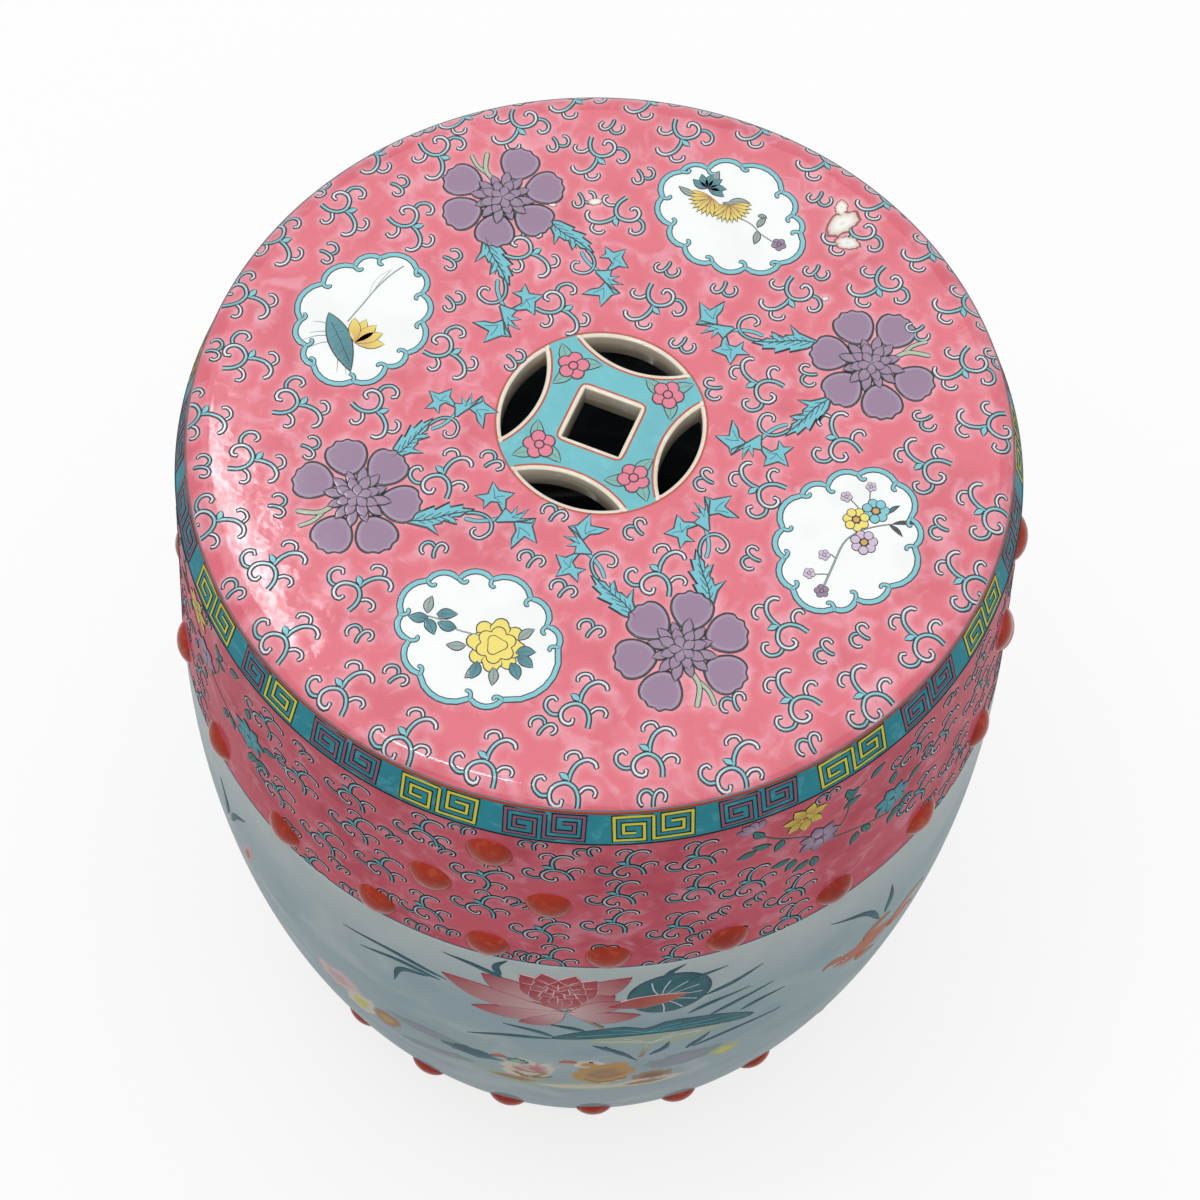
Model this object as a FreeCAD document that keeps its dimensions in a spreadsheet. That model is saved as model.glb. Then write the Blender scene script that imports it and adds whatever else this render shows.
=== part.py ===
import FreeCAD, Part
import math
import os
import Sketcher

# Porcelain garden stool: a drum thrown in sections, luted together, with pressed studs.
# It stands on z = 0 around the Z axis. The seat's lens openings point along X and Y,
# and the crest of studs that faces the viewer is on the -Y side.

V = FreeCAD.Vector
doc = FreeCAD.newDocument("GardenStool")
sheet = doc.addObject("Spreadsheet::Sheet", "Sizes")

# Driving dimensions in millimetres and degrees
driving = [
    ("rim_height", 457.0, "floor to the line between seat and fret band"),
    ("rim_radius", 155.0, "outer radius at that line"),
    ("wall", 11.0, "thickness of the thrown wall"),
    ("band_drop", 16.3, "height of the fret band"),
    ("band_flare", 6.2, "how far the fret band leans out"),
    ("band_ease", 5.0, "width of the eased turn under the fret band"),
    ("shoulder_drop", 119.0, "rim line down to the joint of the two wall sections"),
    ("belly_height", 250.0, "floor to the widest level"),
    ("belly_swell", 22.5, "widest radius less rim radius"),
    ("foot_inset", 15.5, "rim radius less foot radius"),
    ("foot_rise", 16.0, "height of the foot ring under the wall"),
    ("foot_width", 21.0, "width of the foot ring, wall and inner lip together"),
    ("foot_bevel", 2.5, "bevel of the foot's lower edges"),
    ("lap_height", 6.0, "height of the lap at each joint"),
    ("fit_gap", 0.3, "clearance of curved faces at a joint"),
    ("seat_rise", 3.5, "seat surface above the rim line"),
    ("seat_thick", 12.0, "thickness of the seat slab"),
    ("edge_round", 14.0, "width of the rounded edge of the seat"),
    ("coin_radius", 38.0, "radius of the arcs of the lens openings"),
    ("lens_width", 12.5, "widest part of a lens opening"),
    ("square_side", 23.0, "side of the square opening"),
    ("coil_size", 13.0, "leg of the coil under the seat"),
    ("coil_hollow", 2.5, "how deep a finger hollowed that coil"),
    ("seam_half", 8.0, "half height of the coil over the wall seam"),
    ("seam_bulge", 4.0, "how far that coil stands off the wall"),
    ("stud_count", 23, "studs in one row"),
    ("stud_turn", 12.5, "direction of the first stud from the X axis"),
    ("stud_radius", 9.0, "radius of a stud where it meets the wall"),
    ("stud_face", 6.0, "radius of the flattened top of a stud"),
    ("stud_height", 4.0, "how far a stud stands off the wall"),
    ("row_drop", 108.0, "rim line down to the shoulder row"),
    ("pair_drop", 66.0, "rim line down to the two studs of a crest"),
    ("apex_drop", 32.0, "rim line down to the top stud of a crest"),
    ("foot_row_height", 67.0, "floor to the foot row"),
]
for line, (alias, value, note) in enumerate(driving, start=1):
    sheet.set(f"A{line}", alias)
    sheet.set(f"B{line}", str(value))
    sheet.setAlias(f"B{line}", alias)
    sheet.set(f"C{line}", note)
doc.recompute()

LENS_COUNT = 4
CREST_COUNT = 4
BELLY_STRETCHES = 4

# Levels and radii of the drum as expressions over the sheet
BAND_Z = "(Sizes.rim_height - Sizes.band_drop)"
BAND_R = "(Sizes.rim_radius + Sizes.band_flare)"
JOINT_Z = "(Sizes.rim_height - Sizes.shoulder_drop)"
LAP_Z = f"({JOINT_Z} + Sizes.lap_height)"
SEAT_Z = "(Sizes.rim_height + Sizes.seat_rise)"
SLAB_Z = f"({SEAT_Z} - Sizes.seat_thick)"
SWELL = "(Sizes.belly_swell + Sizes.foot_inset)"
BELLY_ARC = f"(({SWELL}^2 + Sizes.belly_height^2) / (2 * {SWELL}))"
BELLY_AXIS = f"(Sizes.rim_radius + Sizes.belly_swell - {BELLY_ARC})"


def belly_at(height, inset="0"):
    # the belly is one arc of revolution, widest at belly_height and ending at the foot
    return f"({BELLY_AXIS} + sqrt(({BELLY_ARC} - {inset})^2 - ({height} - Sizes.belly_height)^2))"


JOINT_R = belly_at(JOINT_Z)
LEAN = f"(({JOINT_R} - {BAND_R}) / ({BAND_Z} - {JOINT_Z}))"
LEAN_LENGTH = f"sqrt(1 + {LEAN}^2)"


def shoulder_at(height, inset="0"):
    # the shoulder is a cone from the joint up to the fret band
    return f"({BAND_R} + ({BAND_Z} - {height}) * {LEAN} - {inset} * {LEAN_LENGTH})"


def amount(text):
    value = sheet.evalExpression(text)
    return float(getattr(value, "Value", value))


def origin_part(body, role):
    return next(item for item in body.Origin.OriginFeatures if item.Role == role)


def new_body(name):
    body = doc.addObject("PartDesign::Body", name)
    body.Label = name
    return body


def new_sketch(body, name, role):
    sketch = body.newObject("Sketcher::SketchObject", name)
    sketch.AttachmentSupport = [(origin_part(body, role), "")]
    sketch.MapMode = "FlatFace"
    return sketch


def bind(sketch, kind, places, name, text):
    # a dimension whose value follows the sheet
    index = sketch.addConstraint(Sketcher.Constraint(kind, *places, amount(text)))
    sketch.renameConstraint(index, name)
    sketch.setExpression("Constraints." + name, text)


def bowed(start, end, radius, side):
    # arc of the given radius from start to end, bulging to its right (1) or left (-1)
    half = start.distanceToPoint(end) / 2
    sagitta = radius - math.sqrt(radius * radius - half * half)
    right = V(end.y - start.y, start.x - end.x, 0).normalize()
    return Part.ArcOfCircle(start, (start + end) / 2 + right * side * sagitta, end)


def outline(body, name, corners, bows):
    # closed outline in the XZ plane: corners are (radius, height) expressions, and bows gives
    # the radius and side of each stretch that is an arc instead of a line
    sketch = new_sketch(body, name, "XZ_Plane")
    points = [V(amount(across), amount(up), 0) for across, up in corners]
    heads = []
    for i, start in enumerate(points):
        end = points[(i + 1) % len(points)]
        if i in bows:
            radius, side = bows[i]
            sketch.addGeometry(bowed(start, end, amount(radius), side), False)
            bind(sketch, "Radius", (i,), f"bow_{i}", radius)
        else:
            sketch.addGeometry(Part.LineSegment(start, end), False)
        heads.append(1 if sketch.getPoint(i, 1).distanceToPoint(start) < 1e-6 else 2)
    for i in range(len(points)):
        after = (i + 1) % len(points)
        sketch.addConstraint(Sketcher.Constraint("Coincident", i, 3 - heads[i], after, heads[after]))
    for i, (across, up) in enumerate(corners):
        if across == "0":
            sketch.addConstraint(Sketcher.Constraint("PointOnObject", i, heads[i], -2))
        else:
            bind(sketch, "DistanceX", (-1, 1, i, heads[i]), f"across_{i}", across)
        if up == "0":
            sketch.addConstraint(Sketcher.Constraint("PointOnObject", i, heads[i], -1))
        else:
            bind(sketch, "DistanceY", (-1, 1, i, heads[i]), f"up_{i}", up)
    return sketch


def turned(body, name, corners, bows):
    # the outline spun once around the drum's axis
    feature = body.newObject("PartDesign::Revolution", name)
    feature.Profile = outline(body, name + "Outline", corners, bows)
    feature.ReferenceAxis = (origin_part(body, "Z_Axis"), [""])
    feature.Angle = 360
    body.Tip = feature
    doc.recompute()
    return feature


def circle_edges(feature, wanted):
    # names of the full circles whose radius and height are in the wanted list
    names = []
    for number, edge in enumerate(feature.Shape.Edges, start=1):
        if not isinstance(edge.Curve, Part.Circle):
            continue
        for radius, height in wanted:
            if abs(edge.Curve.Radius - radius) < 0.01 and abs(edge.Curve.Center.z - height) < 0.01:
                names.append(f"Edge{number}")
    return names


def bevelled(body, name, base, wanted, width):
    feature = body.newObject("PartDesign::Chamfer", name)
    feature.Base = (base, circle_edges(base, wanted))
    feature.Size = amount(width)
    feature.setExpression("Size", width)
    body.Tip = feature
    doc.recompute()
    return feature


def cut_up_through(body, name, sketch):
    # the sketch lies on the floor plane and its pocket goes up through the seat
    solid = body.Tip.Shape.Volume
    pocket = body.newObject("PartDesign::Pocket", name)
    pocket.Profile = sketch
    pocket.Type = "ThroughAll"
    pocket.Reversed = True
    body.Tip = pocket
    doc.recompute()
    if pocket.Shape.Volume > solid - 1:
        raise RuntimeError(f"{name} removes nothing")
    return pocket


# Seat slab: a disc with a rounded edge, and a plug that drops into the shoulder wall
def make_seat_slab():
    body = new_body("seat_slab")
    plug_r = f"({shoulder_at('Sizes.rim_height', 'Sizes.wall')} - Sizes.fit_gap)"
    flat_r = "(Sizes.rim_radius - Sizes.edge_round)"
    edge_arc = "((Sizes.edge_round^2 + Sizes.seat_rise^2) / (2 * Sizes.seat_rise))"
    corners = [
        ("0", SLAB_Z),
        (plug_r, SLAB_Z),
        (plug_r, "Sizes.rim_height"),
        ("Sizes.rim_radius", "Sizes.rim_height"),
        (flat_r, SEAT_Z),
        ("0", SEAT_Z),
    ]
    turned(body, "Disc", corners, {3: (edge_arc, 1)})
    square = new_sketch(body, "SquareOutline", "XY_Plane")
    half = amount("Sizes.square_side") / 2
    ring = [V(-half, -half, 0), V(half, -half, 0), V(half, half, 0), V(-half, half, 0)]
    for i in range(4):
        square.addGeometry(Part.LineSegment(ring[i], ring[(i + 1) % 4]), False)
    for i in range(4):
        square.addConstraint(Sketcher.Constraint("Coincident", i, 2, (i + 1) % 4, 1))
    square.addConstraint(Sketcher.Constraint("Horizontal", 0))
    square.addConstraint(Sketcher.Constraint("Vertical", 1))
    square.addConstraint(Sketcher.Constraint("Horizontal", 2))
    square.addConstraint(Sketcher.Constraint("Vertical", 3))
    square.addConstraint(Sketcher.Constraint("Symmetric", 0, 1, 2, 1, -1, 1))
    bind(square, "DistanceX", (0, 1, 0, 2), "side_across", "Sizes.square_side")
    bind(square, "DistanceY", (1, 1, 1, 2), "side_along", "Sizes.square_side")
    cut_up_through(body, "SquareOpening", square)
    cut_lenses(body)
    return body


# Lens openings: two equal arcs, the outer one round the middle of the coin
def cut_lenses(body):
    lens = new_sketch(body, "LensOutline", "XY_Plane")
    arc_radius = amount("Sizes.coin_radius")
    centre_gap = "(2 * Sizes.coin_radius - Sizes.lens_width)"
    reach = math.acos(amount(centre_gap) / 2 / arc_radius)
    outer = Part.Circle(V(0, 0, 0), V(0, 0, 1), arc_radius)
    inner = Part.Circle(V(amount(centre_gap), 0, 0), V(0, 0, 1), arc_radius)
    lens.addGeometry(Part.ArcOfCircle(outer, -reach, reach), False)
    lens.addGeometry(Part.ArcOfCircle(inner, math.pi - reach, math.pi + reach), False)
    lens.addConstraint(Sketcher.Constraint("Coincident", 0, 3, -1, 1))
    lens.addConstraint(Sketcher.Constraint("PointOnObject", 1, 3, -1))
    lens.addConstraint(Sketcher.Constraint("Coincident", 0, 2, 1, 1))
    lens.addConstraint(Sketcher.Constraint("Coincident", 1, 2, 0, 1))
    bind(lens, "Radius", (0,), "outer_arc", "Sizes.coin_radius")
    bind(lens, "Radius", (1,), "inner_arc", "Sizes.coin_radius")
    bind(lens, "DistanceX", (-1, 1, 1, 3), "centre_gap", centre_gap)
    opening = cut_up_through(body, "LensOpening", lens)
    pattern = body.newObject("PartDesign::PolarPattern", "LensRing")
    pattern.Originals = [opening]
    pattern.Axis = (origin_part(body, "Z_Axis"), [""])
    pattern.Angle = 360
    pattern.Occurrences = LENS_COUNT
    body.Tip = pattern


# Shoulder wall: fret band and studded cone, rebated inside to sit over the belly wall's lap
def make_shoulder_wall():
    body = new_body("shoulder_wall")
    lap_top = f"({LAP_Z} + Sizes.fit_gap)"
    lap_r = f"({JOINT_R} - Sizes.wall / 2 + Sizes.fit_gap)"
    corners = [
        (JOINT_R, JOINT_Z),
        (BAND_R, BAND_Z),
        ("Sizes.rim_radius", "Sizes.rim_height"),
        (shoulder_at("Sizes.rim_height", "Sizes.wall"), "Sizes.rim_height"),
        (shoulder_at(lap_top, "Sizes.wall"), lap_top),
        (lap_r, lap_top),
        (lap_r, JOINT_Z),
    ]
    wall = turned(body, "Wall", corners, {})
    bevelled(body, "BandTurn", wall, [(amount(BAND_R), amount(BAND_Z))], "Sizes.band_ease")
    return body


# Belly wall: one swelling arc outside, turned in even stretches, and three slopes thrown
# inside, with a lap on its inner half that locates the shoulder wall
def make_belly_wall():
    body = new_body("belly_wall")
    corners = []
    for step in range(BELLY_STRETCHES):
        height = f"(Sizes.foot_rise + {step} / {BELLY_STRETCHES} * ({JOINT_Z} - Sizes.foot_rise))"
        corners.append((belly_at(height), height))
    low_z = "((Sizes.foot_rise + Sizes.belly_height) / 2)"
    lap_r = f"({JOINT_R} - Sizes.wall / 2)"
    corners += [
        (JOINT_R, JOINT_Z),
        (lap_r, JOINT_Z),
        (lap_r, LAP_Z),
        (belly_at(LAP_Z, "Sizes.wall"), LAP_Z),
        (belly_at("Sizes.belly_height", "Sizes.wall"), "Sizes.belly_height"),
        (belly_at(low_z, "Sizes.wall"), low_z),
        (belly_at("Sizes.foot_rise", "Sizes.wall"), "Sizes.foot_rise"),
    ]
    turned(body, "Wall", corners, {side: (BELLY_ARC, 1) for side in range(BELLY_STRETCHES)})
    return body


def belly_inside(height):
    # the top slope thrown inside the belly, from its widest place up to the lap
    low_r = belly_at("Sizes.belly_height", "Sizes.wall")
    run = f"({belly_at(LAP_Z, 'Sizes.wall')} - {low_r})"
    return f"({low_r} + {run} * ({height} - Sizes.belly_height) / ({LAP_Z} - Sizes.belly_height))"


# Foot ring: carries on the belly's slope outside, with a lip that rises inside the wall
def make_foot_ring():
    body = new_body("foot_ring")
    lip_top = "(Sizes.foot_rise + Sizes.lap_height)"
    lip_r = f"({belly_at('Sizes.foot_rise', 'Sizes.wall')} - Sizes.fit_gap)"
    back_r = "(Sizes.rim_radius - Sizes.foot_inset - Sizes.foot_width)"
    corners = [
        (belly_at("0"), "0"),
        (belly_at("Sizes.foot_rise"), "Sizes.foot_rise"),
        (lip_r, "Sizes.foot_rise"),
        (lip_r, lip_top),
        (back_r, lip_top),
        (back_r, "0"),
    ]
    ring = turned(body, "Ring", corners, {})
    lower_edges = [(amount(belly_at("0")), 0), (amount(back_r), 0)]
    bevelled(body, "FootBevel", ring, lower_edges, "Sizes.foot_bevel")
    return body


# Coil under the seat: clay pressed into the corner and hollowed with a finger
def make_seat_coil():
    body = new_body("seat_coil")
    low_z = f"({SLAB_Z} - Sizes.coil_size)"
    top_r = f"({shoulder_at(SLAB_Z, 'Sizes.wall')} - Sizes.fit_gap)"
    low_r = f"({shoulder_at(low_z, 'Sizes.wall')} - Sizes.fit_gap)"
    share = "(Sizes.coil_size / 2 - Sizes.coil_hollow)"
    corners = [
        (low_r, low_z),
        (top_r, SLAB_Z),
        (f"({top_r} - Sizes.coil_size)", SLAB_Z),
        (f"({top_r} - {share})", f"({SLAB_Z} - {share})"),
    ]
    turned(body, "Coil", corners, {})
    return body


# Coil over the wall seam: pressed flat against the inside, over the lap
def make_seam_coil():
    body = new_body("seam_coil")
    low_z = f"({LAP_Z} - Sizes.seam_half)"
    top_z = f"({LAP_Z} + Sizes.seam_half)"
    lip = belly_at(LAP_Z, "Sizes.wall")
    corners = [
        (f"({belly_inside(low_z)} - Sizes.fit_gap)", low_z),
        (f"(min({lip}; {shoulder_at(LAP_Z, 'Sizes.wall')}) - Sizes.fit_gap)", LAP_Z),
        (f"({shoulder_at(top_z, 'Sizes.wall')} - Sizes.fit_gap)", top_z),
        (f"({lip} - Sizes.seam_bulge)", LAP_Z),
    ]
    turned(body, "Coil", corners, {})
    return body


# Stud: a clay button with a sloping flank, set half its height into the wall and then trimmed.
# across_share and up_share are the shares of the wall's outward normal along X and Z.
def add_button(body, name, height, surface, across_share, up_share, turn):
    back_radius = "(1.5 * Sizes.stud_radius - 0.5 * Sizes.stud_face)"
    back = "(-Sizes.stud_height / 2)"
    front = "(Sizes.fit_gap / 2 + Sizes.stud_height)"
    corners = [
        (
            f"({surface} - {up} * {up_share} + {out} * {across_share})",
            f"({height} + {up} * {across_share} + {out} * {up_share})",
        )
        for up, out in ((0, back), (back_radius, back), ("Sizes.stud_face", front), (0, front))
    ]
    sketch = outline(body, name + "Outline", corners, {})
    sketch.AttachmentOffset = FreeCAD.Placement(V(0, 0, 0), FreeCAD.Rotation(V(0, 1, 0), amount(turn)))
    sketch.setExpression("AttachmentOffset.Rotation.Angle", turn)
    button = body.newObject("PartDesign::Revolution", name)
    button.Profile = sketch
    button.ReferenceAxis = (sketch, ["Edge4"])
    button.Angle = 360
    body.Tip = button
    return button


def ring_of(body, button):
    pattern = body.newObject("PartDesign::PolarPattern", "Row")
    pattern.Originals = [button]
    pattern.Axis = (origin_part(body, "Z_Axis"), [""])
    pattern.Angle = 360
    pattern.Occurrences = int(amount("Sizes.stud_count"))
    pattern.setExpression("Occurrences", "Sizes.stud_count")
    body.Tip = pattern


# Takes the wall's own slope off the backs of the studs, with half the fit gap to spare
def trim_to_wall(body, low, high, slope_at):
    low_z = f"({low} - 2 * Sizes.stud_radius)"
    high_z = f"({high} + 2 * Sizes.stud_radius)"
    depth = "(Sizes.stud_radius + Sizes.stud_height)"
    corners = [
        (f"({slope_at(low_z)} - {depth})", low_z),
        (f"({slope_at(low_z)} + Sizes.fit_gap / 2)", low_z),
        (f"({slope_at(high_z)} + Sizes.fit_gap / 2)", high_z),
        (f"({slope_at(high_z)} - {depth})", high_z),
    ]
    groove = body.newObject("PartDesign::Groove", "WallTrim")
    groove.Profile = outline(body, "WallTrimOutline", corners, {})
    groove.ReferenceAxis = (origin_part(body, "Z_Axis"), [""])
    groove.Angle = 360
    body.Tip = groove


LEAN_ACROSS = f"(1 / {LEAN_LENGTH})"
LEAN_UP = f"({LEAN} / {LEAN_LENGTH})"


def make_shoulder_studs():
    body = new_body("shoulder_studs")
    body.AllowCompound = True
    height = "(Sizes.rim_height - Sizes.row_drop)"
    surface = shoulder_at(height)
    ring_of(body, add_button(body, "Stud", height, surface, LEAN_ACROSS, LEAN_UP, "Sizes.stud_turn"))
    trim_to_wall(body, height, height, shoulder_at)
    return body


# Crests: over the row stud nearest each quarter stand a pair of studs and one above them.
# Each line gives its name, its drop under the rim line and its shift in steps of the row.
CREST_STUDS = [
    ("Left", "pair_drop", -0.5),
    ("Right", "pair_drop", 0.5),
    ("Apex", "apex_drop", 0),
]


def make_crest_studs():
    body = new_body("crest_studs")
    body.AllowCompound = True
    for crest in range(CREST_COUNT):
        steps = f"ceil({crest} * Sizes.stud_count / {CREST_COUNT} - 0.5)"
        for name, drop, shift in CREST_STUDS:
            height = f"(Sizes.rim_height - Sizes.{drop})"
            turn = f"Sizes.stud_turn + 360 / Sizes.stud_count * ({steps} + {shift})"
            add_button(body, f"{name}{crest}", height, shoulder_at(height), LEAN_ACROSS, LEAN_UP, turn)
    pair = "(Sizes.rim_height - Sizes.pair_drop)"
    apex = "(Sizes.rim_height - Sizes.apex_drop)"
    trim_to_wall(body, pair, apex, shoulder_at)
    return body


def make_foot_studs():
    body = new_body("foot_studs")
    body.AllowCompound = True
    height = "Sizes.foot_row_height"
    surface = belly_at(height)
    across_share = f"(({surface} - {BELLY_AXIS}) / {BELLY_ARC})"
    up_share = f"(({height} - Sizes.belly_height) / {BELLY_ARC})"
    ring_of(body, add_button(body, "Stud", height, surface, across_share, up_share, "Sizes.stud_turn"))

    def tangent_at(level):
        # the belly's slope at the row, carried straight on
        return f"({surface} - ({level} - {height}) * {up_share} / {across_share})"

    trim_to_wall(body, height, height, tangent_at)
    return body


pieces = [
    make_seat_slab(),
    make_shoulder_wall(),
    make_belly_wall(),
    make_foot_ring(),
    make_seat_coil(),
    make_seam_coil(),
    make_shoulder_studs(),
    make_crest_studs(),
    make_foot_studs(),
]
doc.recompute()

for item in doc.Objects:
    if "Invalid" in item.State or "Error" in item.State:
        raise RuntimeError(f"{item.Name} is {item.State}")

os.makedirs("parts", exist_ok=True)
for piece in pieces:
    shape = piece.Shape
    if shape.isNull() or not shape.isValid():
        raise RuntimeError(f"{piece.Label} has no valid shape")
    shape.exportStep(f"parts/{piece.Label}.step")
    print(f"{piece.Label}: {len(shape.Solids)} solids, {shape.Volume / 1000:.1f} cm3")
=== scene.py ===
import bpy
import numpy as np
from mathutils import Matrix
from mathutils.geometry import tessellate_polygon


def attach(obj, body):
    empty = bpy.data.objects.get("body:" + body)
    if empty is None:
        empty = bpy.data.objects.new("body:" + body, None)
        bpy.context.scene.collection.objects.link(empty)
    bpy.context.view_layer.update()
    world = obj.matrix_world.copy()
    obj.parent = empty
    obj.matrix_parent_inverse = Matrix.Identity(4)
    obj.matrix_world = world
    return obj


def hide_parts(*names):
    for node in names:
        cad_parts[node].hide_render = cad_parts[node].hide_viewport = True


# Ceramic garden stool: a drum seat in rose enamel with a pierced coin, over a painted porcelain belly.
# Lengths are in millimetres until makeMesh turns them into metres; heights are above the floor.

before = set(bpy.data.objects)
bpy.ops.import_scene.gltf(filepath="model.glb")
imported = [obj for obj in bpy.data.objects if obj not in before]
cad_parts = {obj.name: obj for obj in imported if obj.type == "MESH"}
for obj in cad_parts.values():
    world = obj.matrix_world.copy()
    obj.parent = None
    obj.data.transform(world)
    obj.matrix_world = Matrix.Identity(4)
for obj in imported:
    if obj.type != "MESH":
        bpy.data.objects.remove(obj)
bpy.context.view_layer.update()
print("frame loaded")

mm = 0.001

stool = {
    "rimHeight": 457.0,     # the brick-red line round the seat
    "rimRadius": 155.0,
    "bandDrop": 16.3,       # height of the fret band
    "bandFlare": 6.2,       # how far its foot stands out past the rim
    "shoulderDrop": 119.0,  # rim to the seam of shoulder and belly
    "bellyHeight": 250.0,   # height of the widest place
    "bellySwell": 22.5,     # how far that place stands out past the rim
    "footInset": 15.5,      # how far the foot stands in from the rim
    "footRise": 16.0,       # height of the foot ring
    "seatRise": 3.5,        # the seat's face over the rim line
    "edgeRound": 14.0,      # radius of the seat's rounded edge
    "seatThick": 12.0,
    "wall": 11.0,           # thickness of the thrown wall
}

seatTop = stool["rimHeight"] + stool["seatRise"]
bandFoot = stool["rimHeight"] - stool["bandDrop"]
bandRadius = stool["rimRadius"] + stool["bandFlare"]
seamHeight = stool["rimHeight"] - stool["shoulderDrop"]
bellyRadius = stool["rimRadius"] + stool["bellySwell"]
bellySag = bellyRadius - (stool["rimRadius"] - stool["footInset"])
bellyArc = (stool["bellyHeight"] ** 2 + bellySag ** 2) / (2 * bellySag)


def smoothStep(low, high, value):
    # 0 below low, 1 above high, eased between them
    share = np.clip((value - low) / (high - low), 0, 1)
    return share * share * (3 - 2 * share)


def bellyAt(height):
    # radius of the belly's single swelling arc at a height
    return bellyRadius - bellyArc + np.sqrt(bellyArc ** 2 - (height - stool["bellyHeight"]) ** 2)


seamRadius = bellyAt(seamHeight)


def wallAt(height):
    # radius of the outside at a height: band, shoulder cone and belly, one after the other
    height = np.asarray(height, dtype=float)
    turnHeights = [seamHeight, bandFoot, stool["rimHeight"]]
    turnRadii = [seamRadius, bandRadius, stool["rimRadius"]]
    above = np.interp(height, turnHeights, turnRadii)
    return np.where(height > seamHeight, above, bellyAt(np.minimum(height, seamHeight)))


# Meshes


def makeMesh(name, points, faceSets, material, replaces=(), vertexData=None, cornerTint=None):
    # points, and face arrays such as one of triangles and one of quads, put into one mesh as whole arrays
    mesh = bpy.data.meshes.new(name)
    loops = np.concatenate([faces.ravel() for faces in faceSets]).astype(np.int32)
    sizes = np.concatenate([np.full(len(faces), faces.shape[1]) for faces in faceSets])
    starts = np.concatenate([[0], np.cumsum(sizes)[:-1]]).astype(np.int32)
    mesh.vertices.add(len(points))
    mesh.vertices.foreach_set("co", (np.asarray(points, dtype=float) * mm).ravel())
    mesh.loops.add(len(loops))
    mesh.loops.foreach_set("vertex_index", loops)
    mesh.polygons.add(len(sizes))
    mesh.polygons.foreach_set("loop_start", starts)
    mesh.polygons.foreach_set("use_smooth", np.ones(len(sizes), dtype=bool))
    mesh.update(calc_edges=True)
    for key, values in (vertexData or {}).items():
        mesh.attributes.new(key, "FLOAT", "POINT").data.foreach_set("value", np.ravel(values))
    if cornerTint is not None:
        filled = np.concatenate([cornerTint, np.ones((len(cornerTint), 1))], axis=1)
        mesh.attributes.new("tint", "FLOAT_COLOR", "CORNER").data.foreach_set("color", filled.ravel())
    mesh.materials.append(material)
    piece = bpy.data.objects.new(name, mesh)
    bpy.context.scene.collection.objects.link(piece)
    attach(piece, "root")
    if replaces:
        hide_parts(*replaces)
    return piece


def gridQuads(rows, columns, closed=True):
    # quads of a grid numbered row by row; a closed grid joins its last column to its first
    row = np.arange(rows - 1)[:, None]
    column = np.arange(columns if closed else columns - 1)[None, :]
    beside = (column + 1) % columns
    first = row * columns + column
    second = row * columns + beside
    return np.stack([first, second, second + columns, first + columns], axis=-1).reshape(-1, 4)


def turnedPoints(radii, heights, angles):
    # a profile carried round the axis: x = r cos a, y = r sin a, z as given, row by row
    x = radii * np.cos(angles)
    y = radii * np.sin(angles)
    z = np.broadcast_to(heights, x.shape)
    return np.stack([x, y, z], axis=-1).reshape(-1, 3)


def fullTurn(count):
    # evenly spaced angles of one turn, as one row: 2 pi k / count
    return (np.arange(count) * 2 * np.pi / count)[None, :]


# Drawing in raised enamel: strokes and filled shapes, flat in millimetres first and then laid on the glaze

palette = {
    "line": "0a1820", "turquoise": "74c3ce", "leaf": "62bccb", "milk": "dfe4ee", "mauve": "8d7090",
    "mauvePale": "cbb8cf", "mauveDeep": "846488", "mauvePetal": "a68ca8", "mauveHeart": "9c839e",
    "stem": "a9bda2", "yellow": "f0dc62", "ochre": "cf9c45", "teal": "1f6a76", "tealLight": "3f929c",
    "grey": "8fa3a1", "white": "f3f7f5", "cream": "e8dfca",
    "brick": "b9482d", "petal": "e2708a", "petalDeep": "a83a48", "coinLeaf": "6fb0a8", "band": "2f93a3",
    "bandYellow": "e2d84c", "bandMauve": "94627a", "green": "3f8676", "lotus": "b0303f",
    "lotusMid": "d77a80", "lotusPale": "edc9c9", "reed": "24505e", "orange": "cf6a43", "tawny": "b08352",
    "lilac": "a19ab8", "sage": "b4c4ae", "pond": "a7bfc6", "blush": "d8b3b8", "bare": "e6dccb",
    "burnt": "8a5a3c",
}


def shade(name):
    # sRGB hex text to the linear values that the shaders take
    part = np.array([int(palette[name][k:k + 2], 16) for k in (0, 2, 4)]) / 255
    return np.where(part <= 0.04045, part / 12.92, ((part + 0.055) / 1.055) ** 2.4)


enamel = {
    "rise": 0.2,     # height of a drawn line over the glaze
    "sink": 0.12,    # how far its edges reach down into the glaze
    "line": 0.7,     # width of the dark outline
    "brink": 0.07,   # width of the sloping side
    "step": 1.5,     # length of one facet along a line
}


def drawn(points, faces, tint):
    # one drawn part: points are across, up and lift, and tint has a colour for each corner of a face
    if faces.shape[1] == 4:
        tint = np.concatenate([tint[:, [0, 1, 2]], tint[:, [0, 2, 3]]])
        faces = np.concatenate([faces[:, [0, 1, 2]], faces[:, [0, 2, 3]]])
    return {"points": points, "faces": faces, "tint": tint}


def joined(parts):
    # several drawn parts as one, with their faces renumbered
    offsets = np.cumsum([0] + [len(part["points"]) for part in parts])
    faces = [part["faces"] + offset for part, offset in zip(parts, offsets)]
    return drawn(np.concatenate([part["points"] for part in parts]), np.concatenate(faces),
                 np.concatenate([part["tint"] for part in parts]))


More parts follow.
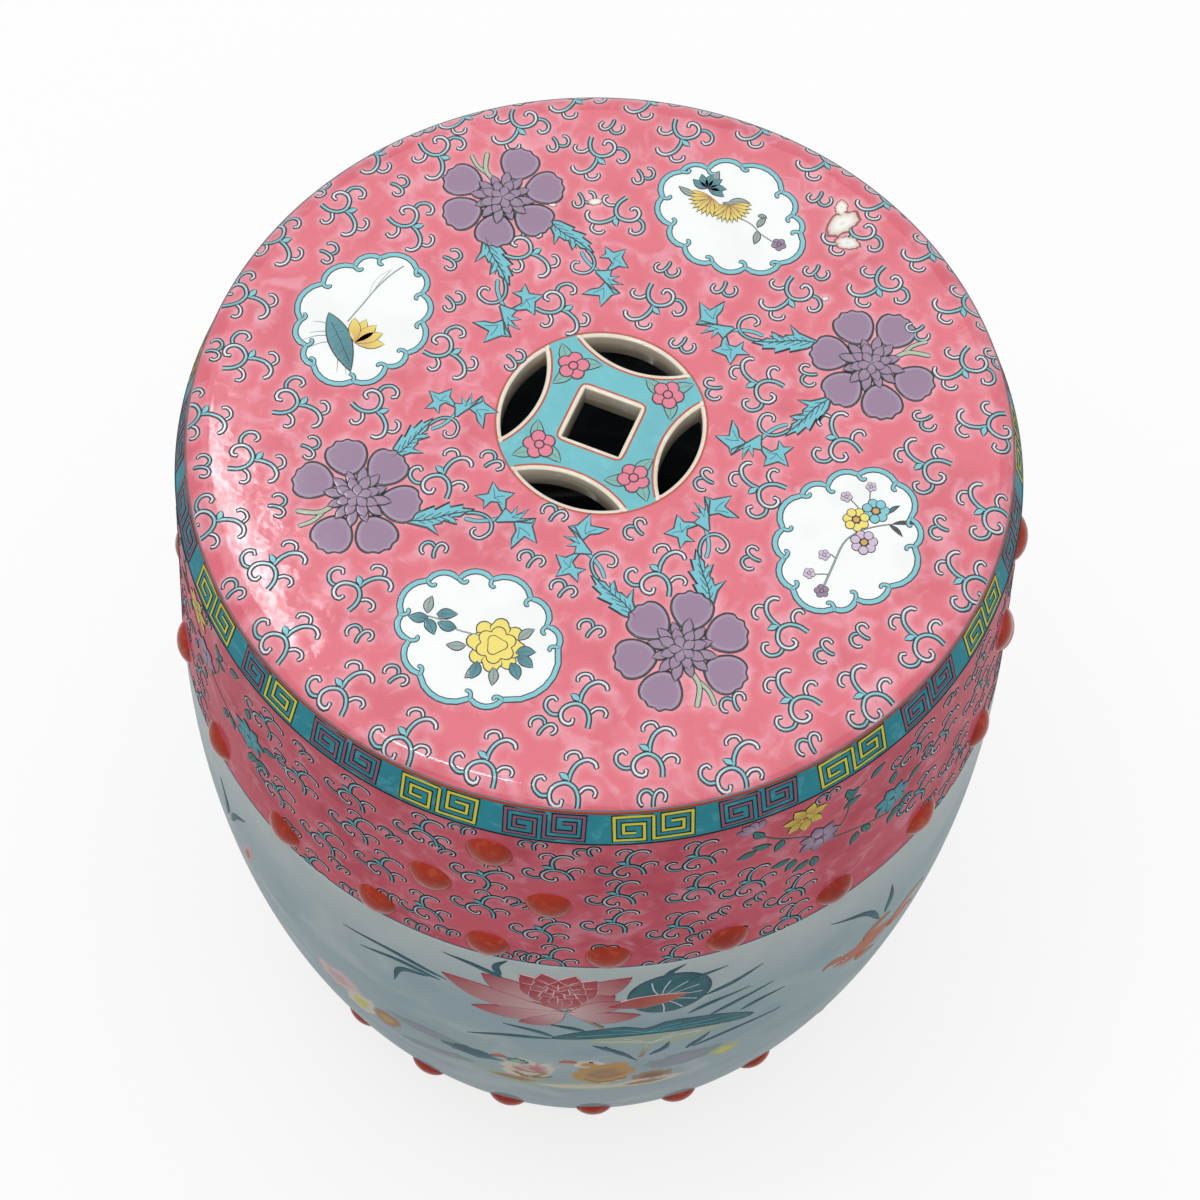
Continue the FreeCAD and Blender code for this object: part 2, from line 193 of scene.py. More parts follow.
def moved(part, across, up, turn=0.0, size=1.0, lift=0.0):
    # the part scaled, turned by degrees and shifted in its own plane
    angle = np.radians(turn)
    x, y, h = part["points"].T
    points = np.stack([across + size * (x * np.cos(angle) - y * np.sin(angle)),
                       up + size * (x * np.sin(angle) + y * np.cos(angle)), h + lift], axis=1)
    return drawn(points, part["faces"], part["tint"])


def split(part, longest):
    # each triangle into four at the middles of its sides, until no side is longer than asked
    while True:
        corners = part["points"][part["faces"]]
        if np.linalg.norm(corners - np.roll(corners, -1, axis=1), axis=2).max() <= longest:
            points, index = np.unique(corners.reshape(-1, 3).round(4), axis=0, return_inverse=True)
            faces = index.reshape(-1, 3)
            whole = (faces != np.roll(faces, 1, axis=1)).all(axis=1)   # a blade has no width at its tips
            return drawn(points, faces[whole], part["tint"][whole])
        tint = part["tint"]
        middle, between = ((rows + np.roll(rows, -1, axis=1)) / 2 for rows in (corners, tint))
        fans = [np.stack([rows[:, k], mids[:, k], mids[:, k - 1]], axis=1)
                for rows, mids in ((corners, middle), (tint, between)) for k in range(3)]
        corners = np.concatenate(fans[:3] + [middle])
        tint = np.concatenate(fans[3:] + [between])
        part = drawn(corners.reshape(-1, 3), np.arange(3 * len(corners)).reshape(-1, 3), tint)


def easedPath(points, closed=False):
    # Catmull-Rom curve through given points, twelve steps to a span
    knots = np.asarray(points, dtype=float)
    if closed:
        padded = np.vstack([knots[-1], knots, knots[:2]])
    else:
        padded = np.vstack([2 * knots[0] - knots[1], knots, 2 * knots[-1] - knots[-2]])
    spans = len(padded) - 3
    place = np.linspace(0, spans, 12 * spans + 1)
    index = np.minimum(place.astype(int), spans - 1)
    t = (place - index)[:, None]
    a, b, c, d = (padded[index + k] for k in range(4))
    return 0.5 * (2 * b + (c - a) * t + (2 * a - 5 * b + 4 * c - d) * t ** 2 + (3 * b - a - 3 * c + d)
                  * t ** 3)


def lengthAlong(path):
    # running sum of the lengths of a path's steps
    return np.concatenate([[0], np.cumsum(np.linalg.norm(np.diff(path, axis=0), axis=1))])


def alongPath(path, spots):
    # places at the given lengths along a path, and the unit vectors to their left
    far = lengthAlong(path)
    place, before, after = (np.stack([np.interp(np.clip(spots + step, 0, far[-1]), far, path[:, k])
                                      for k in range(2)], axis=1) for step in (0, -0.05, 0.05))
    ahead = after - before
    ahead /= np.linalg.norm(ahead, axis=1)[:, None]
    return place, np.stack([-ahead[:, 1], ahead[:, 0]], axis=1)


def ribbon(centre, side, width, fill, edge="line", line=None, lift=0.0, closed=False):
    # five lanes along a curve: a short side, a dark edge, the raised colour, and the first two again;
    # fill has a colour for each row
    rows = len(centre)
    width = np.broadcast_to(width, (rows,))
    inner = np.maximum(width - (enamel["line"] if line is None else line), 0)
    brink = np.maximum(width - enamel["brink"], inner)
    across = np.stack([-width, -brink, -inner, inner, brink, width], axis=1)
    top = enamel["rise"] + lift
    height = np.array([-enamel["sink"], top - 0.04, top, top, top - 0.04, -enamel["sink"]])
    flat = centre[:, None, :] + across[:, :, None] * side[:, None, :]
    cloud = np.concatenate([flat, np.broadcast_to(height[None, :, None], (rows, 6, 1))], axis=2).reshape(-1,
                                                                                                         3)
    faces = gridQuads(rows + closed, 6, closed=False)[:, ::-1] % (6 * rows)
    tint = np.broadcast_to(fill, (rows, 3))[faces // 6]
    tint[np.arange(len(faces)) % 5 != 2] = shade(edge)
    return drawn(cloud, faces, tint)


def stroke(points, half, fill, fade=None, openStart=False, taper=1.0, lift=0.0, edge="line", line=None,
           step=None):
    # a drawn line: its half width narrows by a straight law and follows a circle at the round ends
    path = easedPath(points)
    total = lengthAlong(path)[-1]
    tip = min(half, 0.4 * total)
    near = tip * np.array([0, 0.13, 0.5])
    count = int(np.ceil(total / (step or enamel["step"]))) + 2
    spots = np.concatenate([[0] if openStart else near, np.linspace(tip, total - tip, count),
                            total - near[::-1]])
    centre, side = alongPath(path, spots)
    width = half * (1 + (taper - 1) * spots / total)
    width = width * np.sqrt(1 - np.clip(1 - (total - spots) / tip, 0, 1) ** 2)
    if not openStart:
        width = width * np.sqrt(1 - np.clip(1 - spots / tip, 0, 1) ** 2)
    share = smoothStep(0.25, 0.9, spots / total)[:, None]
    return ribbon(centre, side, width, shade(fill) * (1 - share) + shade(fade or fill) * share, edge, line,
                  lift)


def blade(points, half, fill, fade=None, edge="line", line=0.52, peak=0.45, lift=0.0, rows=9):
    # a pointed leaf or petal: its half width rises to the peak and falls to nothing at both ends
    path = easedPath(points)
    share = np.linspace(0, 1, rows)
    centre, side = alongPath(path, share * lengthAlong(path)[-1])
    rising = np.sin(np.pi / 2 * np.clip(share / peak, 0, 1)) ** 0.8
    falling = np.cos(np.pi / 2 * np.clip((share - peak) / (1 - peak), 0, 1)) ** 0.9
    colours = shade(fill) * (1 - share[:, None]) + shade(fade or fill) * share[:, None]
    return ribbon(centre, side, half * rising * falling, colours, edge, line, lift)


def turnsLeft(outline):
    # true where an outline runs counter-clockwise: the sum of x y' - y x' is above zero
    x, y = np.asarray(outline, dtype=float).T
    return np.sum(x * np.roll(y, -1) - y * np.roll(x, -1)) > 0


def closedRibbon(outline, half, fill, edge="line", line=None, lift=0.0):
    # a ribbon round a closed outline, with each place's side square to its two neighbours
    outline = np.asarray(outline, dtype=float)
    ahead = np.roll(outline, -1, axis=0) - np.roll(outline, 1, axis=0)
    ahead /= np.linalg.norm(ahead, axis=1)[:, None]
    side = np.stack([-ahead[:, 1], ahead[:, 0]], axis=1)
    return ribbon(outline, side, half, shade(fill), edge, line, lift, closed=True)


def blot(outline, bands, lift=0.0, dome=0.2, centre=None):
    # a filled shape round its middle, in bands of the outline shrunk to a share;
    # each band is (share, colour at its inside, colour at its outside)
    outline = np.asarray(outline, dtype=float)
    outline = outline if turnsLeft(outline) else outline[::-1]
    middle = outline.mean(axis=0) if centre is None else np.asarray(centre, dtype=float)
    turns = len(outline)
    shares = np.array([share for share, _, _ in bands])
    rings = middle + shares[:, None, None] * (outline - middle)
    heights = enamel["rise"] / 2 + dome * np.sqrt(np.clip(1 - shares ** 2, 0, 1)) + lift
    heights[-1] = -enamel["sink"]
    heights = np.broadcast_to(heights[:, None, None], (len(shares), turns, 1))
    cloud = np.concatenate([rings, heights], axis=2).reshape(-1, 3)
    cloud = np.vstack([[*middle, lift + dome + enamel["rise"] / 2], cloud])
    quads = gridQuads(len(shares), turns)[:, ::-1] + 1
    ring = (quads.min(axis=1) - 1) // turns
    near = np.array([shade(inside) for _, inside, _ in bands])
    far = np.array([shade(outside) for _, _, outside in bands])
    outer = ((quads - 1) // turns) > ring[:, None]
    tint = np.where(outer[:, :, None], far[ring + 1][:, None], near[ring + 1][:, None])
    spoke = np.arange(turns)
    fan = np.stack([0 * spoke, 1 + spoke, 1 + (spoke + 1) % turns], axis=1)
    fanTint = np.stack([near[0], far[0], far[0]])[None] + np.zeros((turns, 1, 1))
    body = drawn(cloud, quads, tint)
    return drawn(cloud, np.concatenate([fan, body["faces"]]), np.concatenate([fanTint, body["tint"]]))


def oval(length, half, lobes=1, depth=0.0, turns=24, pinch=0.3):
    # an oval along +x: bumps of |cos| on its far side, and a near end pinched by the given share
    angle = np.arange(turns) * 2 * np.pi / turns
    far = smoothStep(-0.3, 0.5, np.cos(angle))
    bump = 1 + depth * far * (np.abs(np.cos(lobes * angle / 2)) - 0.6)
    narrow = 1 - pinch + pinch * smoothStep(-1, 0.3, np.cos(angle))
    return np.stack([length * np.cos(angle) * bump, half * np.sin(angle) * bump * narrow], axis=1)


def shapeOf(outline, fill, edge="line", line=0.45, lift=0.0):
    # a flat shape of any outline: triangles inside, and a dark ribbon round its edge
    outline = np.asarray(outline, dtype=float)
    outline = outline if turnsLeft(outline) else outline[::-1]
    triangles = np.array(tessellate_polygon([[(x, y, 0) for x, y in outline.tolist()]]))
    a, b, c = (outline[triangles[:, k]] for k in range(3))
    backward = (b - a)[:, 0] * (c - a)[:, 1] - (b - a)[:, 1] * (c - a)[:, 0] < 0
    triangles[backward] = triangles[backward][:, ::-1]
    cloud = np.concatenate([outline, np.full((len(outline), 1), 0.6 * enamel["rise"] + lift)], axis=1)
    body = drawn(cloud, triangles, np.broadcast_to(shade(fill), (len(triangles), 3, 3)))
    return joined([body, closedRibbon(outline, line, edge, edge, line / 2, lift)])


def mitred(points, half, fill, edge="line", line=0.5, lift=0.0):
    # a line with sharp corners: at each, the side is the sum of both normals over 1 plus their product
    points = np.asarray(points, dtype=float)
    ahead = np.diff(points, axis=0)
    ahead /= np.linalg.norm(ahead, axis=1)[:, None]
    normal = np.stack([-ahead[:, 1], ahead[:, 0]], axis=1)
    before, after = np.vstack([normal[:1], normal]), np.vstack([normal, normal[-1:]])
    side = (before + after) / (1 + np.sum(before * after, axis=1))[:, None]
    return ribbon(points, side, half, shade(fill), edge, line, lift)


def ringDrawn(radius, half, fill, lift=0.0, turns=120):
    # a ribbon of one colour about the origin; the radius is one number, or one for each angle of the turn
    angle = fullTurn(turns)[0]
    circle = np.stack([np.cos(angle), np.sin(angle)], axis=1)
    return closedRibbon(np.reshape(radius, (-1, 1)) * circle, half, fill, fill, lift=lift)


def turnSpot(distance, degrees):
    # the place at a distance and an angle: x = r cos a, y = r sin a
    return distance * np.cos(np.radians(degrees)), distance * np.sin(np.radians(degrees))


seat = {
    "turns": 720, "topRings": 106, "edgeRings": 16,
    "relief": 0.68,   # how low the glaze lies, so that drawn lines stay inside the solid
    "reach": 154.2,   # radius past which nothing is drawn
    "edgeEnd": 0.1,   # how far inside the rim line the rounded edge ends
    "plugGap": 0.4,   # between the plug under the seat and the wall
}
seatFace = seatTop - seat["relief"]


def seatHeightAt(radius):
    # flat top, then a quarter-round edge that ends on the rim line
    roundness = stool["edgeRound"]
    reach = np.sqrt(roundness ** 2 - (roundness - stool["seatRise"]) ** 2)
    over = np.clip(radius - (stool["rimRadius"] - reach), 0, reach)
    return seatFace - roundness + np.sqrt(roundness ** 2 - over ** 2)


def onSeat(part):
    # a drawn part laid on the seat, with what lies past the rounded edge left off
    x, y, h = part["points"].T
    radius = np.hypot(x, y)
    keep = (radius[part["faces"]] < seat["reach"]).any(axis=1)
    pull = np.minimum(1, seat["reach"] / np.maximum(radius, 1))
    points = np.stack([x * pull, y * pull, seatHeightAt(radius * pull) + h], axis=1)
    return drawn(points, part["faces"][keep], part["tint"][keep])


wallRelief = 0.25   # how far the wall's glaze lies inside the given radii


def onWall(part, degrees, height, low=0.0, high=500.0):
    # a drawn part wrapped round the axis: angle = a + x / r, z = height + y, r = wall radius + lift
    x, y, h = part["points"].T
    z = np.clip(height + y, low, high)
    angle = np.radians(degrees) + x / wallAt(height + y)
    keep = ((height + y[part["faces"]] > low) & (height + y[part["faces"]] < high)).any(axis=1)
    radius = wallAt(z) - wallRelief + h
    points = np.stack([radius * np.cos(angle), radius * np.sin(angle), z], axis=1)
    return drawn(points, part["faces"][keep], part["tint"][keep])


def makeDrawing(name, parts, material):
    # laid parts as one mesh, without the points that no face uses
    whole = joined(parts)
    used, index = np.unique(whole["faces"], return_inverse=True)
    print(name, "triangles", len(whole["faces"]))
    return makeMesh(name, whole["points"][used], [index.reshape(-1, 3)], material,
                    cornerTint=whole["tint"].reshape(-1, 3))


halo = {"spread": 1.15, "gain": 2.2}   # reach in millimetres and strength of the pale glaze beside lines


def haloOf(parts, places, flatten):
    # how much drawn enamel lies near each place: its points counted in half-millimetre cells, the count
    # blurred by a Gaussian as a product of spectra, and the result taken as 1 - exp(-gain * blurred)
    flat = flatten(joined(parts)["points"])
    cells = np.round(2 * flat).astype(int)
    spots = np.round(2 * flatten(places)).astype(int)
    low = np.minimum(cells.min(axis=0), spots.min(axis=0))
    size = np.maximum(cells.max(axis=0), spots.max(axis=0)) - low + 1
    count = np.zeros(size)
    count[tuple((cells - low).T)] = 1
    waves = np.fft.fftfreq(size[0])[:, None] ** 2 + np.fft.rfftfreq(size[1])[None, :] ** 2
    blur = np.exp(-2 * (np.pi * 2 * halo["spread"]) ** 2 * waves)
    blurred = np.fft.irfft2(np.fft.rfft2(count) * blur, s=size)
    return 1 - np.exp(-halo["gain"] * np.maximum(blurred[tuple((spots - low).T)], 0))


def flatTop(points):
    # the seat as seen from above
    return points[:, :2]


def flatWall(points):
    # the wall rolled out flat: the angle times a mean radius, and the height
    meanRadius = 165
    return np.stack([np.arctan2(points[:, 1], points[:, 0]) * meanRadius, points[:, 2]], axis=1)


# Shader helpers and the groups that the glazes share


def wire(tree, source, socket):
    # joins a socket to a socket, or writes a plain value on it
    if isinstance(source, bpy.types.NodeSocket):
        tree.links.new(source, socket)
    else:
        socket.default_value = source


def startGroup(name, inputs, outputs):
    # inputs are (name, kind, first value), outputs are (name, kind)
    group = bpy.data.node_groups.new(name, "ShaderNodeTree")
    for label, kind, value in inputs:
        socket = group.interface.new_socket(label, in_out="INPUT", socket_type="NodeSocket" + kind)
        socket.default_value = value
    for label, kind in outputs:
        group.interface.new_socket(label, in_out="OUTPUT", socket_type="NodeSocket" + kind)
    return group, group.nodes.new("NodeGroupInput").outputs, group.nodes.new("NodeGroupOutput").inputs


def noiseOf(tree, scale, detail=2.0, roughness=0.5, distortion=0.0):
    # cloudy noise fixed to the piece
    node = tree.nodes.new("ShaderNodeTexNoise")
    wire(tree, tree.nodes.new("ShaderNodeTexCoord").outputs["Object"], node.inputs["Vector"])
    for label, value in (("Scale", scale), ("Detail", detail), ("Roughness", roughness),
                         ("Distortion", distortion)):
        wire(tree, value, node.inputs[label])
    return node.outputs["Fac"]


def eased(tree, value, low, high, top=1.0):
    # 0 below low, top above high, eased between them
    node = tree.nodes.new("ShaderNodeMapRange")
    node.interpolation_type = "SMOOTHSTEP"
    for label, entry in (("Value", value), ("From Min", low), ("From Max", high), ("To Max", top)):
        wire(tree, entry, node.inputs[label])
    return node.outputs["Result"]


def calc(tree, operation, first, second=0.0):
    # one sum on two values
    node = tree.nodes.new("ShaderNodeMath")
    node.operation = operation
    wire(tree, first, node.inputs[0])
    wire(tree, second, node.inputs[1])
    return node.outputs[0]


def blend(tree, share, first, second, kind="MIX"):
    # the first colour where the share is 0, the second where it is 1
    node = tree.nodes.new("ShaderNodeMix")
    node.data_type = "RGBA"
    node.blend_type = kind
    wire(tree, share, node.inputs[0])
    wire(tree, first, node.inputs[6])
    wire(tree, second, node.inputs[7])
    return node.outputs[2]


def makeCloudGroup():
    # glaze that pooled unevenly: broad deep patches and smaller milky clouds over one colour, and pin specks
    tree, given, out = startGroup("cloudedGlaze", [
        ("Colour", "Color", (1, 1, 1, 1)), ("Deep", "Color", (1, 1, 1, 1)), ("Milky", "Color", (1, 1, 1, 1)),
        ("Deep Share", "Float", 0.4), ("Milky Share", "Float", 0.4), ("Cloud Scale", "Float", 90.0),
        ("Specks", "Float", 0.3)], [("Colour", "Color")])
    broad = eased(tree, noiseOf(tree, 38.0, 3.0), 0.46, 0.68)
    cloud = eased(tree, noiseOf(tree, given["Cloud Scale"], 3.0, 0.55, 0.6), 0.5, 0.72)
    colour = blend(tree, calc(tree, "MULTIPLY", broad, given["Deep Share"]), given["Colour"], given["Deep"])
    colour = blend(tree, calc(tree, "MULTIPLY", cloud, given["Milky Share"]), colour, given["Milky"])
    cells = tree.nodes.new("ShaderNodeTexVoronoi")
    wire(tree, tree.nodes.new("ShaderNodeTexCoord").outputs["Object"], cells.inputs["Vector"])
    cells.inputs["Scale"].default_value = 150.0
    speck = calc(tree, "LESS_THAN", cells.outputs["Distance"], 0.05)
    rare = calc(tree, "GREATER_THAN", noiseOf(tree, 60.0), 0.6)
    speck = calc(tree, "MULTIPLY", calc(tree, "MULTIPLY", speck, rare), given["Specks"])
    wire(tree, blend(tree, speck, colour, (0.12, 0.05, 0.04, 1)), out["Colour"])
    return tree


def makeSurfaceGroup():
    # a fired surface: broad waves from the brush and the kiln, small pits, and gloss that wanders a little
    tree, given, out = startGroup("firedSurface", [
        ("Wave", "Float", 0.5), ("Pits", "Float", 0.2), ("Gloss", "Float", 0.1), ("Wear", "Float", 0.1)],
        [("Roughness", "Float"), ("Height", "Float")])
    wave = calc(tree, "MULTIPLY", noiseOf(tree, 95.0, 2.0, 0.5), given["Wave"])
    pit = calc(tree, "MULTIPLY", eased(tree, noiseOf(tree, 700.0, 1.0), 0.62, 0.72), given["Pits"])
    wire(tree, calc(tree, "SUBTRACT", wave, pit), out["Height"])
    wander = calc(tree, "MULTIPLY", eased(tree, noiseOf(tree, 140.0, 4.0, 0.6), 0.45, 0.75), given["Wear"])
    wire(tree, calc(tree, "ADD", given["Gloss"], wander), out["Roughness"])
    return tree


cloudGroup = makeCloudGroup()
surfaceGroup = makeSurfaceGroup()


def putGroup(tree, group, **values):
    # a use of a group; the values name its inputs without their spaces
    node = tree.nodes.new("ShaderNodeGroup")
    node.node_tree = group
    for socket in node.inputs:
        key = socket.name.replace(" ", "")
        if key in values:
            wire(tree, values[key], socket)
    return node.outputs


glaze = {"bump": 0.35, "bumpDepth": 0.0011, "coatRoughness": 0.04}


def startMaterial(name, gloss, wave=0.5, pits=0.15, coat=0.4, mirror=0.5):
    # a glaze with roughness and bump of a fired surface; mirror is how strongly it reflects under its coat
    material = bpy.data.materials.new(name)
    material.use_nodes = True
    tree = material.node_tree
    shader = tree.nodes["Principled BSDF"]
    surface = putGroup(tree, surfaceGroup, Wave=wave, Pits=pits, Gloss=gloss)
    wire(tree, surface["Roughness"], shader.inputs["Roughness"])
    relief = tree.nodes.new("ShaderNodeBump")
    relief.inputs["Strength"].default_value = glaze["bump"]
    relief.inputs["Distance"].default_value = glaze["bumpDepth"]
    wire(tree, surface["Height"], relief.inputs["Height"])
    wire(tree, relief.outputs["Normal"], shader.inputs["Normal"])
    shader.inputs["Coat Weight"].default_value = coat
    shader.inputs["Specular IOR Level"].default_value = mirror
    shader.inputs["Coat Roughness"].default_value = glaze["coatRoughness"]
    return material, tree, shader


def named(tree, key, output="Fac"):
    # an attribute of the mesh, as a value or a colour
    node = tree.nodes.new("ShaderNodeAttribute")
    node.attribute_name = key
    return node.outputs[output]


def colourOf(name):
    return (*shade(name), 1)


def scaled(colour, factor, extra=0.0):
    # a colour times a factor, plus a little, and never over 1
    return tuple(min(1, factor * part + extra) for part in colour[:3]) + (1,)


roseGlaze = {
    "colour": (0.735, 0.118, 0.172, 1), "deep": (0.60, 0.066, 0.11, 1), "milky": (0.86, 0.36, 0.45, 1),
    "halo": (0.93, 0.62, 0.70, 1), "gloss": 0.07,
}


def makeRoseMaterial(name, zoned, coat=0.4, mirror=0.5, haloShare=0.8, deepShare=0.5):
    # rose enamel, paler beside drawn lines, which gives way to the zoned colour where the mesh's zone is 1
    material, tree, shader = startMaterial(name, roseGlaze["gloss"], coat=coat, mirror=mirror)
    rose = putGroup(tree, cloudGroup, Colour=roseGlaze["colour"], Deep=roseGlaze["deep"],
                    Milky=roseGlaze["milky"], DeepShare=deepShare, MilkyShare=0.55, CloudScale=85.0,
                    Specks=0.35)["Colour"]
    wash = calc(tree, "MULTIPLY", named(tree, "wash"), haloShare)
    colour = blend(tree, wash, rose, roseGlaze["halo"])
    other = colourOf(zoned)
    plain = putGroup(tree, cloudGroup, Colour=other, Deep=scaled(other, 0.8),
                     Milky=colourOf("turquoise" if zoned == "band" else "white"), DeepShare=0.5,
                     MilkyShare=0.35, CloudScale=160.0, Specks=0.6)["Colour"]
    wire(tree, blend(tree, named(tree, "zone"), colour, plain), shader.inputs["Base Color"])
    return material


def makeTintMaterial(name, gloss=0.12, softened=0.0, coat=0.4, mirror=0.5):
    # drawn enamel: the tint of each face, a little uneven, and thinned toward the ground when softened
    material, tree, shader = startMaterial(name, gloss, wave=0.3, pits=0.1, coat=coat, mirror=mirror)
    tint = named(tree, "tint", "Color")
    uneven = putGroup(tree, cloudGroup, Colour=(1, 1, 1, 1), Deep=(0.78, 0.8, 0.82, 1),
                      Milky=(1.0, 1.0, 1.0, 1), DeepShare=0.22, MilkyShare=0.0, Specks=0.0)["Colour"]
    colour = blend(tree, 1.0, tint, uneven, "MULTIPLY")
    if softened:
        thin = eased(tree, noiseOf(tree, 120.0, 3.0), 0.35, 0.7, softened)
        colour = blend(tree, thin, colour, colourOf("pond"))
    wire(tree, colour, shader.inputs["Base Color"])
    return material


def makeGlazeMaterial(name, colour, deep, milky, gloss=0.12, scale=60.0, specks=0.2, deepShare=0.5,
                      milkyShare=0.5, coat=0.4, pits=0.15, mirror=0.5):
    # one clouded glaze, returned with its tree and its colour so that more can be laid over it
    material, tree, shader = startMaterial(name, gloss, coat=coat, pits=pits, mirror=mirror)
    clouded = putGroup(tree, cloudGroup, Colour=colour, Deep=deep, Milky=milky, DeepShare=deepShare,
                       MilkyShare=milkyShare, CloudScale=scale, Specks=specks)["Colour"]
    wire(tree, clouded, shader.inputs["Base Color"])
    return material, tree, shader, clouded


def makeCoinMaterial():
    # turquoise enamel, and bare cream clay where the mesh's zone is 1
    turquoise = (0.105, 0.485, 0.545, 1)
    material, tree, shader, colour = makeGlazeMaterial(
        "turquoiseEnamel", turquoise, scaled(turquoise, 0.78), scaled(turquoise, 1.12, 0.03), scale=110.0,
        specks=0.3)
    clay = putGroup(tree, cloudGroup, Colour=colourOf("cream"), Deep=(0.55, 0.42, 0.28, 1),
                    Milky=colourOf("white"), DeepShare=0.35, MilkyShare=0.5, CloudScale=220.0,
                    Specks=0.9)["Colour"]
    wire(tree, blend(tree, named(tree, "zone"), colour, clay), shader.inputs["Base Color"])
    return material


def makeBellyMaterial():
    # pale pond glaze, whiter toward its upper edge by a straight run of the height
    material, tree, shader, pond = makeGlazeMaterial(
        "bellyGlaze", colourOf("pond"), (0.28, 0.42, 0.48, 1), (0.60, 0.68, 0.70, 1), scale=22.0,
        deepShare=0.45, milkyShare=0.6, specks=0.1, coat=0.22, mirror=0.0)
    spread = tree.nodes.new("ShaderNodeSeparateXYZ")
    wire(tree, tree.nodes.new("ShaderNodeTexCoord").outputs["Object"], spread.inputs["Vector"])
    upper = eased(tree, spread.outputs["Z"], 0.27, 0.345, 0.75)
    wire(tree, blend(tree, upper, pond, (0.66, 0.72, 0.71, 1)), shader.inputs["Base Color"])
    return material


seatMaterial = makeRoseMaterial("roseEnamelSeat", "bare")
# the wall's copy of the rose glaze is darker than the seat's, with stronger deep patches and a fainter pale
# wash beside its lines: partly painted shade of the upright wall
shoulderMaterial = makeRoseMaterial("roseEnamelWall", "band", coat=0.2, mirror=0.0, haloShare=0.45,
                                    deepShare=0.9)
coinMaterial = makeCoinMaterial()
bellyMaterial = makeBellyMaterial()
studMaterial = makeGlazeMaterial("coralEnamel", (0.43, 0.035, 0.012, 1), (0.22, 0.016, 0.010, 1),
                                 (0.60, 0.12, 0.05, 1), scale=260.0, coat=0.05, mirror=0.12)[0]
biscuitMaterial = makeGlazeMaterial("bareBiscuit", (0.62, 0.55, 0.44, 1), (0.42, 0.34, 0.25, 1),
                                    (0.75, 0.70, 0.62, 1), gloss=0.6, coat=0.0, pits=0.6, specks=0.9)[0]
drawnMaterial = makeTintMaterial("drawnEnamel")
wallDrawnMaterial = makeTintMaterial("drawnEnamelWall", coat=0.2, mirror=0.0)
paintedMaterial = makeTintMaterial("paintedPond", gloss=0.14, softened=0.1, coat=0.22, mirror=0.0)
print("glazes mixed")


# Scrollwork that fills the rose ground, drawn once and set down many times


def makeLargeScroll():
    # a curl that opens upward from its bud, with three milky hooks and a hanging stem
    return joined([
        stroke([(-1.4, -9.0), (0.3, -10.9), (2.8, -10.4), (4.1, -8.3), (3.2, -6.8)], 1.0, "milk",
               lift=-0.06),
        stroke([(4.7, 7.0), (7.6, 8.0), (10.6, 6.4), (11.1, 3.4), (9.2, 1.6), (7.5, 2.9)], 1.04, "turquoise",
               "milk", lift=-0.04),
        stroke([(-4.6, 3.3), (-6.0, 0.7), (-8.6, -0.2), (-10.3, 1.2), (-9.8, 2.9)], 1.02, "milk",
               lift=-0.05),
        stroke([(0, 0.6), (0.4, -3.0), (-0.6, -7.0), (-3.4, -9.6), (-6.4, -9.2), (-7.6, -7.2)], 1.1,
               "turquoise", "milk", lift=-0.02),
        stroke([(-6.0, 8.6), (-5.2, 4.9), (-2.9, 1.9), (0.6, 1.0), (3.8, 3.1), (4.9, 6.2), (3.6, 8.9),
                (1.1, 9.6), (-0.3, 8.2), (0.6, 6.7)], 1.1, "turquoise", "milk", openStart=True),
        blade([(0.2, -0.1), (1.8, -0.9), (4.4, -1.7)], 1.5, "turquoise", lift=0.03, rows=6),
    ])


def makeSmallCurl():
    # a three-legged curl
    return joined([
        stroke([(0, -0.4), (1.2, -2.0), (3.3, -2.2), (5.0, -0.3), (4.7, 2.0), (3.4, 2.3)], 0.98, "turquoise",
               "milk", lift=-0.03),
        stroke([(-3.2, 1.4), (-4.2, 0.2), (-3.9, -1.6), (-2.2, -2.3), (-0.6, -1.1), (0.2, 1.6), (0, 4.2)],
               0.98, "milk", "turquoise"),
    ])


largeScroll, smallCurl = makeLargeScroll(), makeSmallCurl()

# Places on the seat, (across, up, turn in degrees)
seatScrolls = [
    (-40.6, 148.4, 0), (-68.5, 136.6, 0), (-21, 133.8, 0), (-83.1, 112.9, 0), (-48.5, 112.1, 0),
    (-106, 111.7, 0), (-106, 87.5, 38), (-130.6, 80, 38), (-101.7, 52.6, 55), (-128.5, 48.8, 60),
    (-53.9, 59.2, 82), (-1.8, 55.4, -11), (-32.7, 40, 74), (-31, 88.4, -38), (-145.8, 26, 60),
    (-63.9, 5, 73), (-145.6, -2.2, 93), (6.4, 153, -8), (35.2, 147.1, -22), (63.5, 138.4, -22),
    (88.5, 122.1, -28), (57.2, 116.7, -29), (74.8, 97.9, -30), (108.1, 102.6, -42), (45.2, 79.4, -21),
    (117.2, 75.8, -27), (133, 55.2, -64), (47.2, 38.8, -109), (83.5, 28.2, -137), (116.8, 30.4, -102),
    (143.9, 20.8, -112), (63.9, -3.5, -102), (-133.1, -27.2, 103), (-106.4, -38.1, 96), (-78.5, -29.3, 57),
    (-138.1, -56, 105), (-111, -66, 98), (-44.8, -43.9, 175), (-112.2, -94.3, 117), (-85.2, -102.2, 158),
    (-53.1, -98.1, 147), (-68.5, -126.4, 152), (-41.8, -136.8, 168), (-13.5, -144.8, 172),
    (43.5, -50.2, 186), (91, -53.5, -115), (137.6, -38, -116), (128.5, -66.8, -117), (105.2, -78.5, -113),
    (146, -9.3, -108), (95.6, -110.2, 193), (66.8, -116.8, 192), (37.2, -108.9, 182), (45.2, -138, 183),
    (16, -141.8, 179),
]
